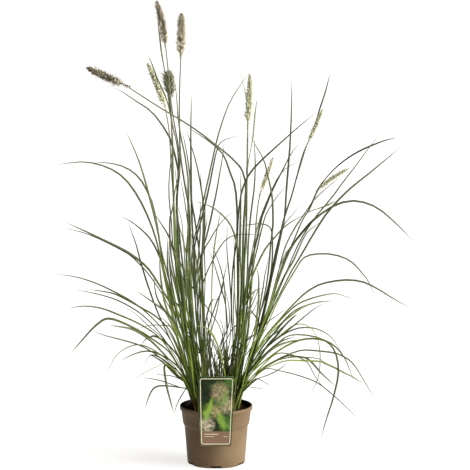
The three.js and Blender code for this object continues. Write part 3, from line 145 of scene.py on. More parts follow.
# The drawn leaves of each tuft: widest width, depth of the tip against the root's, then x and z from above
# the crown out
BLADES = {
  "left_1": [
   [4.6, -70, -76, 198, -98, 224, -124, 247, -152, 267, -184, 283, -230, 297, -262, 306, -292, 318],
   [4.0, -60, -66, 182, -94, 213, -116, 235, -123, 231, -121, 208, -117, 182, -109, 150, -101, 119],
   [3.6, -50, -60, 168, -71, 178, -81, 163, -91, 142, -100, 117],
   [4.4, -120, -66, 175, -84, 181, -108, 189, -140, 199, -179, 206],
   [4.0, -130, -72, 196, -100, 222, -122, 238, -142, 232, -168, 218, -203, 194],
   [4.2, -110, -86, 214, -120, 250, -152, 273, -182, 284, -208, 279, -232, 264, -247, 243, -261, 210],
   [5.2, -150, -82, 218, -112, 252, -142, 285, -168, 306, -198, 322, -226, 328, -256, 332],
   [4.2, -190, -68, 250, -86, 310, -108, 352, -148, 386, -190, 416],
   [4.6, -100, -66, 200, -80, 245, -95, 281, -105, 301, -115, 317, -125, 331],
  ],
  "left_2": [
   [4.6, 50, -72, 205, -92, 262, -112, 302, -140, 335, -172, 366, -205, 391, -240, 411, -282, 432, -330,
    448, -381, 455],
   [4.2, 0, -74, 204, -98, 250, -124, 289, -152, 315, -190, 338, -232, 357, -270, 372, -310, 378, -352, 373],
   [4.8, -30, -72, 204, -92, 238, -110, 266, -125, 280, -142, 292, -158, 303, -175, 314, -198, 326, -222,
    338, -246, 347, -264, 348, -280, 339, -302, 318, -322, 294, -346, 265],
   [3.6, 40, -66, 174, -86, 181, -112, 185, -138, 185, -153, 176, -163, 155, -170, 130],
   [3.6, 100, -68, 186, -86, 202, -106, 210, -126, 212, -147, 214],
   [3.4, 120, -78, 204, -106, 234, -132, 254, -152, 261, -164, 251, -177, 227],
   [5.0, 20, -74, 230, -94, 300, -110, 370, -126, 450, -143, 535, -164, 598, -188, 647, -218, 686, -258,
    710, -310, 721, -376, 714],
   [4.4, 70, -74, 222, -98, 275, -120, 320, -139, 362, -153, 400, -166, 440, -178, 482, -190, 530, -208, 580],
   [3.2, 140, -78, 216, -112, 280, -146, 328, -176, 358, -208, 380, -244, 397, -292, 410, -336, 418],
   [4.2, -60, -70, 235, -88, 285, -104, 325, -115, 350, -126, 370, -140, 388],
   [4.4, 20, -68, 185, -84, 200, -100, 214, -112, 227, -124, 240, -138, 250, -150, 257, -162, 263],
  ],
  "left_3": [
   [5.0, 60, -70, 220, -88, 300, -106, 390, -124, 480, -138, 560, -149, 610, -162, 647, -186, 686, -218,
    709, -256, 719, -294, 719],
   [4.4, 200, -72, 215, -96, 262, -122, 292, -145, 306, -160, 303, -171, 295, -179, 282],
   [3.6, 220, -72, 220, -100, 270, -134, 309, -162, 332, -180, 350, -200, 366, -218, 378],
   [4.0, 150, -72, 225, -96, 290, -120, 330, -150, 357, -176, 372, -205, 389, -240, 407, -270, 414, -300,
    418],
   [3.4, 110, -70, 240, -88, 310, -104, 360, -122, 398, -142, 430, -162, 458, -182, 480, -206, 502, -246,
    524, -300, 549, -330, 558, -362, 566],
   [4.6, 130, -68, 240, -86, 310, -102, 370, -118, 440, -132, 490, -148, 527, -166, 552, -196, 578, -224,
    594],
   [4.0, 260, -66, 250, -86, 310, -108, 350, -127, 376, -139, 396, -145, 420, -148, 452],
   [4.2, -20, -74, 210, -100, 240, -128, 258, -152, 268, -176, 268, -200, 260, -227, 247],
   [3.6, 180, -66, 220, -78, 280, -95, 325, -115, 331, -140, 333, -160, 332, -192, 322],
   [4.0, 80, -62, 240, -78, 310, -92, 380, -103, 430, -108, 460, -112, 490, -114, 534],
  ],
  "left_4": [
   [4.8, -30, -60, 250, -76, 300, -94, 350, -110, 384, -128, 414, -146, 443, -164, 469, -186, 489, -212,
    508, -246, 526, -300, 553, -356, 579],
   [4.8, -60, -62, 260, -86, 340, -102, 410, -116, 465, -128, 510, -136, 555, -146, 598, -156, 635, -168,
    680, -182, 725, -197, 762, -213, 798],
   [4.4, -200, -60, 240, -84, 300, -110, 350, -124, 385, -131, 425, -134, 460, -134, 500],
   [4.2, -170, -58, 240, -78, 310, -97, 380, -108, 435, -115, 480, -118, 545],
   [4.4, -100, -56, 250, -72, 340, -86, 420, -96, 480, -104, 530, -107, 580, -112, 630, -112, 675, -107,
    720, -101, 760, -99, 800],
   [3.8, -210, -54, 250, -70, 320, -84, 390, -96, 450, -104, 500, -107, 580, -102, 602, -98, 625, -96, 645,
    -92, 668, -87, 692, -84, 712],
   [3.4, -240, -50, 240, -60, 300, -66, 360, -70, 420, -73, 480, -76, 525, -80, 545, -84, 558, -88, 578,
    -91, 600, -93, 618],
  ],
  "left_5": [
   [4.6, 80, -54, 250, -66, 360, -78, 460, -88, 540, -95, 600, -94, 645, -90, 680, -91, 710, -97, 733, -107,
    775, -130, 815, -152, 842, -180, 861, -210, 882, -242, 900],
   [4.4, 190, -50, 240, -66, 300, -84, 370, -98, 430, -108, 470, -112, 500, -111, 535],
   [4.6, 170, -48, 250, -60, 330, -74, 400, -88, 460, -100, 515, -112, 548, -130, 576, -148, 603],
   [4.4, 150, -46, 250, -58, 340, -70, 420, -80, 480, -86, 540, -91, 600, -92, 660, -96, 720],
   [4.6, 30, -44, 250, -52, 330, -58, 410, -62, 480, -64, 560, -63, 610, -64, 650, -66, 680, -69, 700, -74,
    732, -80, 757, -86, 787, -91, 817, -93, 850, -95, 890, -100, 925],
   [3.6, 230, -44, 240, -56, 300, -64, 370, -66, 430, -70, 490, -78, 540, -80, 580, -87, 610, -95, 642],
  ],
  "left_6": [
   [4.4, 120, -34, 250, -42, 340, -48, 420, -54, 500, -58, 570, -59, 640, -58, 720, -57, 790, -55, 850, -54,
    884],
   [4.4, 160, -28, 250, -33, 340, -35, 430, -33, 500, -28, 560, -29, 620, -38, 680, -48, 725, -60, 765, -72,
    808],
   [4.8, 90, -36, 260, -46, 340, -54, 420, -58, 490, -51, 535, -41, 572, -30, 615, -19, 662, -6, 722, 5,
    775, 17, 818, 32, 860, 50, 892, 80, 936],
   [4.4, 140, -30, 260, -36, 350, -38, 430, -35, 500, -24, 540, -14, 580, -6, 618, 1, 650, 8, 690, 16, 735,
    20, 772],
   [3.8, 210, -32, 240, -40, 320, -42, 400, -38, 470, -27, 515, -15, 537, -4, 558, 8, 576, 22, 591, 42, 608],
   [4.6, 180, -40, 250, -54, 320, -64, 380, -70, 440, -72, 500, -66, 560, -64, 620, -66, 680],
   [4.4, 60, -28, 240, -29, 330, -31, 440, -34, 475, -41, 530, -49, 585, -58, 635, -62, 690, -70, 745, -76,
    775, -82, 800],
   [4.4, 110, -35, 260, -44, 340, -52, 420, -56, 485, -51, 533, -42, 570, -31, 612, -20, 660, -8, 718, 0,
    752, 7, 766, 18, 774, 28, 777, 41, 781, 58, 785],
   [3.6, 200, -40, 240, -50, 320, -56, 400, -60, 480, -64, 560, -70, 605, -75, 640, -79, 660, -84, 690],
   [4.0, 40, -34, 250, -42, 330, -47, 390, -48, 430, -45, 462, -42, 490, -41, 520, -39, 560, -39, 600, -38,
    638],
  ],
  "middle_1": [
   [4.6, -80, -28, 240, -36, 320, -34, 390, -30, 428, -20, 462, -9, 487, 3, 512, 16, 532, 34, 545, 60, 550,
    95, 548, 122, 543],
   [4.6, -160, -22, 240, -27, 310, -30, 380, -32, 440, -34, 500, -31, 560, -31, 620, -36, 700],
   [4.0, -200, -26, 230, -40, 300, -47, 360, -48, 430, -54, 490, -60, 550],
   [4.0, -150, -22, 230, -21, 285, -17, 330, -8, 362, 2, 392, 12, 415, 17, 447, 27, 487],
   [3.4, -110, -10, 215, -8, 245, -13, 280, -22, 320],
   [4.0, -180, -24, 220, -36, 260, -50, 300, -60, 350, -64, 420, -70, 470],
  ],
  "middle_2": [
   [4.0, 60, -18, 220, -18, 275, -12, 308, -4, 338, 4, 370, 9, 400, 14, 428, 20, 458],
   [4.4, 150, -20, 230, -26, 310, -28, 380, -26, 450, -28, 520, -26, 580, -25, 650],
   [4.0, 90, -6, 220, 2, 250, 14, 274, 28, 300, 42, 323, 58, 338, 74, 352, 88, 364, 98, 388, 108, 415],
   [3.4, 120, -12, 220, -4, 255, 8, 285, 15, 315, 11, 338, 4, 351],
   [3.8, 180, -20, 220, -32, 258, -48, 272, -62, 300, -76, 318, -92, 330],
   [3.8, -40, -6, 200, -10, 225, -12, 255, -9, 285, -4, 312],
  ],
  "middle_3": [
   [4.0, -90, 12, 220, 7, 256, -2, 280, -14, 302, -26, 312],
   [4.2, -150, 18, 230, 24, 280, 27, 330, 23, 380, 15, 412, 8, 437, 1, 460, -8, 490, -20, 516],
   [3.6, -60, 4, 215, 10, 250, 18, 285, 22, 320, 20, 346],
   [3.4, -170, 10, 215, 8, 250, 14, 290, 26, 322, 31, 350, 27, 392, 20, 425],
   [3.6, -130, 14, 220, 28, 250, 36, 280, 48, 300, 54, 340, 50, 390],
   [4.0, -30, 8, 205, 8, 240, 4, 262, -2, 275, -8, 288, -14, 301, -21, 315],
   [3.6, 30, 16, 200, 22, 228, 24, 256, 27, 292],
  ],
  "middle_4": [
   [4.4, 110, 14, 230, 18, 290, 8, 328, -3, 347, -26, 380, -47, 408, -62, 432, -78, 464, -94, 500, -106, 536],
   [4.0, 160, 18, 230, 26, 300, 24, 360, 22, 400, 19, 432, 12, 465, 3, 492, -12, 530],
   [4.0, 200, 20, 230, 30, 290, 34, 340, 35, 385, 34, 430, 31, 475, 28, 510, 27, 545, 29, 575],
   [3.4, 230, 0, 220, -10, 262, -22, 298, -40, 316],
  ],
  "right_1": [
   [4.6, -120, 40, 240, 48, 320, 51, 400, 51, 480, 47, 530, 40, 556, 32, 574, 20, 590, 4, 605, -12, 616,
    -32, 624, -52, 628],
   [4.4, -170, 38, 240, 42, 300, 38, 360, 37, 420, 40, 480, 47, 540, 48, 600, 44, 660, 36, 685, 28, 710, 18,
    737, 0, 757, -20, 773, -40, 787, -56, 797, -75, 810],
   [4.4, -140, 42, 240, 52, 310, 54, 380, 53, 450, 55, 520, 56, 580, 57, 640, 56, 700],
   [4.0, -220, 44, 230, 56, 290, 66, 340, 72, 400, 76, 460, 75, 520, 80, 570],
   [3.6, -240, 42, 220, 50, 260, 52, 310, 46, 370, 44, 420],
   [4.0, -90, 46, 200, 60, 260, 67, 300, 71, 335, 77, 374],
   [4.4, -60, 40, 240, 47, 320, 50, 400, 50, 480, 50, 540, 53, 600, 59, 645, 66, 668, 80, 696, 106, 725,
    142, 758, 176, 789, 202, 811, 234, 838],
  ],
  "right_2": [
   [4.4, -60, 54, 250, 63, 330, 70, 410, 74, 470, 78, 540, 84, 600, 91, 655, 93, 700, 92, 735, 88, 790],
   [4.0, 110, 50, 240, 60, 300, 64, 360, 62, 420, 66, 480, 72, 540, 70, 600, 68, 640],
   [4.2, 70, 54, 250, 64, 330, 74, 400, 86, 440, 96, 466, 106, 490, 120, 518, 138, 541, 158, 565, 182, 583,
    210, 598],
   [3.6, 20, 46, 230, 54, 290, 60, 330, 80, 368, 94, 400, 104, 430],
   [4.6, -90, 52, 190, 88, 235, 108, 262, 122, 284, 140, 303, 158, 325, 172, 341, 186, 354, 196, 360],
   [4.2, -30, 58, 200, 90, 245, 112, 280, 128, 300, 148, 325, 163, 345, 178, 361, 193, 372, 214, 382],
  ],
  "right_3": [
   [4.4, 150, 46, 240, 57, 320, 68, 400, 79, 470, 86, 510, 95, 553, 107, 593, 121, 629, 134, 660, 149, 689,
    168, 708, 200, 727],
   [3.8, 190, 44, 240, 55, 320, 68, 400, 86, 470, 98, 520, 107, 560, 117, 595, 132, 622, 150, 648, 172, 670],
   [4.0, 220, 40, 240, 50, 310, 56, 380, 58, 440, 56, 500, 58, 560, 60, 610],
   [3.8, 170, 40, 230, 46, 300, 44, 360, 46, 430, 44, 500, 40, 560],
   [3.8, 240, 50, 230, 78, 270, 97, 300, 104, 322, 101, 340, 95, 352, 87, 362, 78, 372, 70, 384, 62, 396],
   [4.6, 120, 52, 185, 85, 225, 105, 248, 122, 265, 140, 279, 156, 287, 172, 292, 190, 296, 208, 296],
  ],
  "right_4": [
   [4.6, -60, 80, 250, 98, 320, 112, 380, 122, 430, 127, 480, 130, 530, 134, 570, 133, 610, 130, 645, 122,
    680, 113, 718, 102, 742, 88, 765, 77, 785],
   [4.4, -40, 84, 250, 104, 330, 120, 400, 134, 455, 144, 505, 153, 550, 161, 590, 164, 640, 169, 700, 174,
    760, 178, 840, 179, 925],
   [4.4, -190, 72, 230, 88, 290, 98, 350, 103, 390, 103, 420, 103, 440, 101, 455, 96, 473],
   [4.6, -150, 76, 220, 106, 264, 136, 292, 162, 313, 190, 337, 214, 356, 238, 374, 264, 386],
   [5.0, -130, 70, 196, 100, 232, 136, 262, 166, 282, 196, 295, 224, 299, 252, 296, 276, 286, 296, 268, 310,
    247, 320, 222, 330, 199],
   [4.6, -90, 64, 180, 90, 213, 116, 241, 138, 260, 160, 264, 186, 258, 208, 249, 222, 238, 233, 217, 246,
    196, 264, 176],
   [4.2, -150, 60, 168, 84, 196, 106, 220, 126, 227, 154, 221, 186, 213, 216, 203, 240, 192, 264, 174, 286,
    156, 312, 133, 343, 103],
   [3.4, -60, 58, 160, 74, 181, 92, 201, 106, 199, 120, 191, 134, 186],
   [4.2, -210, 74, 230, 94, 290, 116, 340, 132, 390, 142, 430, 152, 470, 170, 520],
   [4.2, -20, 72, 330, 78, 440, 89, 500, 99, 550, 107, 592, 114, 610, 128, 648, 145, 683, 159, 709, 175,
    740, 198, 768],
   [4.2, -110, 68, 230, 97, 320, 104, 380, 110, 415, 115, 452, 119, 470, 125, 498],
   [3.6, -90, 56, 172, 70, 183, 88, 181, 104, 179, 121, 176],
   [3.6, -170, 62, 176, 90, 212, 118, 232, 148, 247, 180, 254, 215, 254, 240, 252, 252, 247, 260, 234, 266,
    213],
   [4.6, -80, 62, 185, 84, 222, 100, 245, 112, 258, 124, 270, 138, 283, 152, 292, 170, 299, 192, 303],
  ],
  "right_5": [
   [5.0, 30, 84, 255, 112, 325, 140, 395, 160, 445, 178, 490, 196, 530, 214, 560, 236, 592, 258, 618, 280,
    645, 302, 676, 326, 706, 348, 737, 370, 766, 394, 795],
   [5.0, 0, 88, 265, 120, 340, 142, 388, 162, 428, 182, 468, 200, 497, 220, 533, 240, 567, 260, 598, 280,
    622, 302, 645, 326, 667, 354, 689, 380, 711, 402, 729, 435, 758],
   [4.8, -20, 80, 230, 106, 290, 125, 318, 138, 333, 150, 347, 162, 361, 175, 375, 188, 388, 201, 401, 216,
    413, 232, 423, 250, 431, 280, 438, 314, 441, 348, 437, 378, 424, 404, 408, 430, 391, 462, 374],
   [5.0, -20, 76, 202, 106, 246, 140, 285, 168, 306, 200, 309, 236, 303, 262, 291, 279, 272, 289, 243, 291,
    210, 286, 178, 278, 142, 266, 103, 254, 56],
   [4.8, 60, 74, 192, 106, 226, 140, 247, 172, 262, 204, 272, 240, 271, 284, 266, 306, 257, 322, 247, 334,
    233, 346, 214, 358, 193, 380, 152],
   [4.6, 80, 70, 182, 92, 208, 114, 228, 142, 244, 170, 257, 196, 256, 216, 252, 232, 238, 246, 220, 262,
    204, 284, 184],
   [4.2, 110, 66, 172, 88, 201, 114, 224, 142, 238, 172, 247, 208, 246, 248, 244, 262, 238, 278, 231, 306,
    216, 322, 209, 353, 190],
   [4.6, 90, 78, 235, 110, 295, 135, 325, 150, 341, 161, 353, 173, 365, 185, 376, 197, 385, 212, 392, 232,
    399, 254, 405, 282, 409, 306, 403, 334, 391],
   [3.4, 130, 62, 162, 80, 186, 100, 203, 124, 212, 148, 224, 170, 242],
   [3.6, 180, 80, 250, 105, 330, 128, 430, 144, 520, 158, 570, 185, 605, 196, 621],
   [3.6, -60, 78, 240, 100, 300, 117, 333, 128, 344, 141, 353, 156, 364, 170, 371],
  ],
  "right_6": [
   [4.8, 60, 82, 255, 110, 330, 136, 400, 156, 460, 172, 503, 186, 530, 204, 556, 224, 580, 246, 598, 284,
    619],
   [4.8, 120, 86, 265, 118, 345, 146, 412, 166, 455, 184, 486, 198, 520, 210, 546, 224, 563, 248, 580],
   [4.8, 70, 84, 255, 112, 312, 128, 345, 137, 368, 148, 392, 160, 416, 171, 435, 182, 454, 192, 471, 201,
    486, 212, 496, 232, 502, 264, 503, 294, 497, 322, 483, 346, 457, 362, 436, 376, 404],
   [4.8, 40, 84, 255, 118, 345, 140, 425, 152, 460, 160, 490, 170, 513, 183, 530, 208, 561, 231, 586, 256,
    605, 280, 619, 300, 626, 328, 629, 358, 623, 386, 610, 412, 589, 438, 566, 470, 532],
   [4.4, 160, 74, 222, 102, 270, 130, 312, 154, 336, 176, 354, 196, 371, 218, 382, 246, 389, 280, 391],
   [4.4, 190, 72, 214, 100, 255, 134, 292, 164, 319, 186, 334, 206, 336, 226, 326, 240, 303, 248, 272, 249,
    235, 244, 202, 226, 166],
   [3.8, 210, 74, 230, 100, 276, 124, 302, 144, 316, 164, 334, 192, 358],
   [4.0, 180, 74, 215, 110, 264, 150, 302, 190, 324, 226, 327, 252, 319, 274, 303, 290, 278, 306, 250],
   [4.2, 120, 68, 250, 88, 310, 108, 370, 120, 420, 128, 470, 132, 530, 131, 558, 122, 571, 104, 575, 84,
    573, 56, 569],
   [3.6, 230, 82, 245, 110, 330, 138, 420, 156, 490, 170, 530, 192, 570, 215, 603, 232, 630, 262, 660, 300,
    692],
  ],
}

# The rule that the solids were grown by: lean and bow each shoot in depth until it is clear of the others

CLEARANCE = 0.4
SEARCH_MARGIN = 4
CULM_STATION_STEP = 125
BLADE_STATION_STEP = 160
FEWEST_STATIONS, MOST_STATIONS = 4, 12
TURN_WEIGHT = 170
CULM_RADIUS = 1.5
CULM_LEAF_WIDTH = 4
CROWN_FOOT, CROWN_TOP = 110, 150
CROWN_RADIUS, CROWN_TOP_RADIUS = 5, 3.2
ROOT_SINK, ROOT_RING, ROOT_TURNS = 16, 1.9, 0.382
HEAD_GAP, HEAD_LEAN_SHARE, HEAD_START = 0.35, 0.6, 0.04
LOWEST_POINT, DEEPEST_POINT = 8, 330
LEAN_TRIES = [0, 30, -30, 60, -60, 95, -95, 130, -130, 170, -170]
BOW_TRIES = [0, 8, -8, 16, -16, 26, -26, 38, -38]
# The stretches that keep shoots off the card stand side by side from its foot to its top
CARD_GUARD_MIDDLE, CARD_GUARD_WIDTH, CARD_GUARD_Y = 0.5, 86.6, -87.05
CARD_GUARD_FOOT, CARD_GUARD_TOP, CARD_GUARD_RADIUS = 59, 226, 3
FILL_PER_TUFT = {"left": 3, "middle": 2, "right": 3}
FILL_SEED = 4711
FILL_DEPTH = 350
FILL_SWINGS = 16
# How wide the dense tussock looks: height, then its edges at the left and the right
FILL_OUTLINE = np.array([
    [150, -240, 230],
    [250, -230, 190],
    [300, -190, 190],
    [350, -160, 170],
    [400, -135, 140],
    [500, -110, 110],
    [620, -95, 100],
])


class Draws:
    """Repeatable random numbers, the same as the solids were grown with."""

    def __init__(self, seed):
        self.seed = seed

    def between(self, low, high):
        self.seed = (self.seed * 1664525 + 1013904223) % 4294967296
        return low + (high - low) * (self.seed / 4294967296)


def in_depth(x, z, y):
    """The point at depth y that the standing point sees at x and z of the middle plane."""
    k = (y - VIEW_Y) / -VIEW_Y
    return np.array([VIEW_X + (x - VIEW_X) * k, y, VIEW_Z + (z - VIEW_Z) * k])


def seen_at(points):
    """Where points look to be from the standing point, as x and z of the middle plane."""
    k = -VIEW_Y / (points[:, 1] - VIEW_Y)
    return VIEW_X + (points[:, 0] - VIEW_X) * k, VIEW_Z + (points[:, 2] - VIEW_Z) * k


def lengths_along(line):
    """How far along a line each of its points is."""
    return np.concatenate([[0], np.cumsum(np.linalg.norm(np.diff(line, axis=0), axis=1))])


def smooth_line(points, steps=8):
    """A smooth curve through the points, as a fine polyline."""
    p = np.vstack([2 * points[0] - points[1], points, 2 * points[-1] - points[-2]])
    t = (np.arange(steps) / steps)[:, None]
    parts = []
    for i in range(1, len(p) - 2):
        slope_in, slope_out = 0.5 * (p[i + 1] - p[i - 1]), 0.5 * (p[i + 2] - p[i])
        parts.append(
            (1 - t) ** 2 * (1 + 2 * t) * p[i]
            + t * (1 - t) ** 2 * slope_in
            + t**2 * (3 - 2 * t) * p[i + 1]
            + t**2 * (t - 1) * slope_out
        )
    return np.vstack(parts + [p[-2][None]])


def stations_along(line, count, turn_weight=TURN_WEIGHT):
    """Picks stations along a fine line, closer together where it turns, and gives its weighted length."""
    steps = np.diff(line, axis=0)
    length = np.linalg.norm(steps, axis=1)
    way = steps / length[:, None]
    weight = length.copy()
    weight[1:] += turn_weight * np.linalg.norm(np.diff(way, axis=0), axis=1)
    total = np.concatenate([[0], np.cumsum(weight)])
    goals = np.linspace(0, total[-1], count)
    return np.stack([np.interp(goals, total, line[:, k]) for k in range(3)], axis=1), total[-1]


def coarse_stations(points, step):
    """The few stations that the solid's shoot has."""
    line = smooth_line(points)
    total = stations_along(line, 2)[1]
    count = min(MOST_STATIONS, max(FEWEST_STATIONS, math.floor(total / step + 0.5) + 1))
    return stations_along(line, count)[0]


def drawn_points(root, drawn, lean, bow):
    """The drawn route, set back or forward in depth along its way."""
    flat = np.vstack([[root[0], root[2]], np.reshape(drawn, (-1, 2))])
    length = lengths_along(flat)
    s = length / length[-1]
    u = np.sqrt(s)
    depth = root[1] + lean * s * u + bow * 4 * u * (1 - u)
    rest = [in_depth(flat[i, 0], flat[i, 1], depth[i]) for i in range(1, len(flat))]
    return np.vstack([[root], rest])


def distances(p1, q1, p2, q2):
    """The least distance between each segment p1 q1 and each segment p2 q2."""
    d1, d2 = (q1 - p1)[:, None], (q2 - p2)[None]
    r = p1[:, None] - p2[None]
    a, e = (d1 * d1).sum(-1), (d2 * d2).sum(-1)
    f, c, b = (d2 * r).sum(-1), (d1 * r).sum(-1), (d1 * d2).sum(-1)
    denom = a * e - b * b
    s = np.where(denom > 1e-9, np.clip((b * f - c * e) / np.maximum(denom, 1e-9), 0, 1), 0)
    t = (b * s + f) / e
    s = np.where(t < 0, np.clip(-c / a, 0, 1), np.where(t > 1, np.clip((b - c) / a, 0, 1), s))
    t = np.clip(t, 0, 1)
    gap = r + d1 * s[..., None] - d2 * t[..., None]
    return np.sqrt((gap * gap).sum(-1))


class Room:
    """What is already placed: stretches that keep other tufts' shoots off."""

    def __init__(self):
        self.start, self.end, self.radius, self.owner = [], [], [], []

    def keep(self, stations, radii, owner):
        for i in range(1, len(stations)):
            self.start.append(stations[i - 1])
            self.end.append(stations[i])
            self.radius.append(max(radii[i - 1], radii[i]))
            self.owner.append(owner)
        self.stacked = [np.array(x) for x in (self.start, self.end, self.radius, self.owner)]

    def is_clear(self, stations, radii, owner):
        start, end, radius, owners = self.stacked
        low, high = stations.min(0), stations.max(0)
        margin = (radius + SEARCH_MARGIN)[:, None]
        near = (owners != owner) & (np.minimum(start, end) - margin < high).all(1)
        near &= (np.maximum(start, end) + margin > low).all(1)
        if not near.any():
            return True
        own = np.maximum(radii[1:], radii[:-1])
        gap = distances(stations[:-1], stations[1:], start[near], end[near])
        return not (gap < own[:, None] + radius[near] + CLEARANCE).any()


def blade_radius(widest, s):
    """Half the width of the solid's blade, a share s of the way along: full at 0.3, and least at the tip."""
    outer = 1 - 0.78 * (np.maximum(s - 0.3, 0) / 0.7) ** 1.7
    return widest * np.where(s < 0.3, 0.6 + 0.4 * s / 0.3, outer) / 2


class Plant:
    """Every shoot of the plant: the lines of its leaves and culms, and where its heads begin and end."""

    def __init__(self):
        self.room = Room()
        self.draws = Draws(FILL_SEED)
        self.shoots = {tuft: 0 for tuft in TUFTS}
        self.leaves = {tuft: [] for tuft in TUFTS}
        self.culms = {}
        self.heads = {}
        self.joints = {number: [] for number in CULMS}

    def next_root(self, tuft):
        self.shoots[tuft] += 1
        x, y = TUFTS[tuft]
        angle = 2 * math.pi * self.shoots[tuft] * ROOT_TURNS
        x, y = x + ROOT_RING * math.cos(angle), y + ROOT_RING * math.sin(angle)
        return np.array([x, y, CROWN_TOP - ROOT_SINK])

    def settle(self, root, drawn, lean, radius_at, step, owner):
        """Places a shoot with the first lean and bow that leave it clear; gives its points and stations."""
        for more in LEAN_TRIES:
            for bow in BOW_TRIES:
                points = drawn_points(root, drawn, lean + more, bow)
                if (points[:, 2] < LOWEST_POINT).any() or (abs(points[:, 1]) > DEEPEST_POINT).any():
                    continue
                stations = coarse_stations(points, step)
                radii = radius_at(np.linspace(0, 1, len(stations)))
                if self.room.is_clear(stations, radii, owner):
                    self.room.keep(stations, radii, owner)
                    return points, stations
        return None

    def settle_leaf(self, tuft, root, drawn, lean, widest):
        """The fine line of a drawn leaf, or None where it finds no room."""
        radius_at = functools.partial(blade_radius, widest)
        found = self.settle(root, drawn, lean, radius_at, BLADE_STATION_STEP, tuft)
        return found and smooth_line(found[0])

    def grow(self):
        for tuft, (x, y) in TUFTS.items():
            ends = np.array([[x, y, CROWN_FOOT], [x, y, CROWN_TOP]], float)
            self.room.keep(ends, [CROWN_RADIUS, CROWN_TOP_RADIUS], tuft)
        for across in np.linspace(-0.5, 0.5, 9):
            x = CARD_GUARD_MIDDLE + across * CARD_GUARD_WIDTH
            ends = np.array([[x, CARD_GUARD_Y, CARD_GUARD_FOOT], [x, CARD_GUARD_Y, CARD_GUARD_TOP]])
            self.room.keep(ends, [CARD_GUARD_RADIUS, CARD_GUARD_RADIUS], "card")
        self.grow_culms()
        self.grow_culm_leaves()
        self.grow_drawn_leaves()
        self.grow_filling_leaves()
        return self

    def grow_culms(self):
        for number, (tuft, lean, drawn) in CULMS.items():
            root = self.next_root(tuft)
            radius_at = lambda s: np.full(len(s), CULM_RADIUS)
            points, stations = self.settle(root, drawn, lean, radius_at, CULM_STATION_STEP, tuft)
            top = stations[-1]
            tip_at, radius = HEADS[number][:2]
            # The head leans on as the culm's last stretch does, and keeps shoots off almost all along
            tip = in_depth(*tip_at, top[1] + (top[1] - stations[-2][1]) * HEAD_LEAN_SHARE)
            base = top + HEAD_GAP * (tip - top) / np.linalg.norm(tip - top)
            self.culms[number] = (tuft, smooth_line(points), stations)
            self.heads[number] = (base, tip)
            start = base * (1 - HEAD_START) + tip * HEAD_START
            self.room.keep([start, tip], [radius, radius], f"head_{number}")

    def grow_culm_leaves(self):
        for i, (number, lean, drawn) in enumerate(CULM_LEAVES):
            tuft, _, stations = self.culms[number]
            seen_x, seen_z = seen_at(stations)
            root = stations[np.argmin(np.hypot(seen_x - drawn[0], seen_z - drawn[1]))]
            line = self.settle_leaf(tuft, root, drawn[2:], lean, CULM_LEAF_WIDTH)
            if line is not None:
                self.joints[number].append(root)
                self.leaves[tuft].append((line, CULM_LEAF_WIDTH, 0.3 * (i % 5 - 2)))

    def grow_drawn_leaves(self):
        for tuft, blades in BLADES.items():
            for widest, lean, *drawn in blades:
                line = self.settle_leaf(tuft, self.next_root(tuft), drawn, lean, widest)
                if line is not None:
                    self.leaves[tuft].append((line, widest, self.draws.between(-0.6, 0.6)))

    def grow_filling_leaves(self):
        draw = self.draws.between
        for tuft, (x, y) in TUFTS.items():
            # They lean away from the middle of the plant, the more so to the front and the back
            outward = math.atan2(2.2 * (y - 6), x)
            side = tuft.split("_")[0]
            for _ in range(FILL_PER_TUFT[side]):
                root = self.next_root(tuft)
                azimuth = outward + draw(-0.9, 0.9)
                length = draw(180, 260) if side == "middle" else draw(330, 560)
                start_tilt, end_tilt = draw(0.08, 0.3), draw(0.7, 1.9)
                widest, turn = draw(3.6, 4.8), draw(-0.9, 0.9)
                for k in range(FILL_SWINGS):
                    # The first way that is clear, swinging out to one side and the other
                    swing = (1 if k % 2 else -1) * math.ceil(k / 2) * 0.2
                    points = arched_points(root, azimuth + swing, length, start_tilt, end_tilt)
                    if not stays_in_outline(points):
                        continue
                    stations = coarse_stations(points, BLADE_STATION_STEP)
                    radii = blade_radius(widest, np.linspace(0, 1, len(stations)))
                    if self.room.is_clear(stations, radii, tuft):
                        self.room.keep(stations, radii, tuft)
                        self.leaves[tuft].append((smooth_line(points), widest, turn))
                        break


def arched_points(root, azimuth, length, start_tilt, end_tilt, steps=5):
    """A leaf that leans over more and more on its way out."""
    s = (np.arange(steps) + 0.5) / steps
    tilt = start_tilt + (end_tilt - start_tilt) * s**1.5
    way = np.stack([np.sin(tilt) * math.cos(azimuth), np.sin(tilt) * math.sin(azimuth), np.cos(tilt)], 1)
    return np.vstack([[root], root + np.cumsum(way * length / steps, axis=0)])


def stays_in_outline(points):
    """Whether a filling leaf stays within the dense tussock as seen from the front."""
    seen_x, seen_z = seen_at(points)
    least, greatest = (np.interp(seen_z, FILL_OUTLINE[:, 0], FILL_OUTLINE[:, k]) for k in (1, 2))
    return ((seen_x > least) & (seen_x < greatest) & (abs(points[:, 1]) < FILL_DEPTH)).all()


# Small tools for colours, node trees and meshes

NODE_FAMILIES = ("ShaderNode", "GeometryNode", "FunctionNode", "")
SOCKET_KINDS = {int: "NodeSocketInt", float: "NodeSocketFloat", type(None): "NodeSocketMaterial"}
NOISE_ROUGHNESS = 0.55


def colour4(shade):
    """A linear colour and its alpha, from an sRGB hex value or from a linear colour."""
    if not isinstance(shade, str):
        return (*shade, 1.0)
    values = [int(shade[i : i + 2], 16) / 255 for i in (1, 3, 5)]
    return (*(v / 12.92 if v <= 0.04045 else ((v + 0.055) / 1.055) ** 2.4 for v in values), 1.0)


def pattern_scale(size_mm, unit=1.0):
    """The scale, to a tenth, of a pattern with spots of this size; a unit of its space is so many metres."""
    return round(unit / (size_mm * MM), 1)


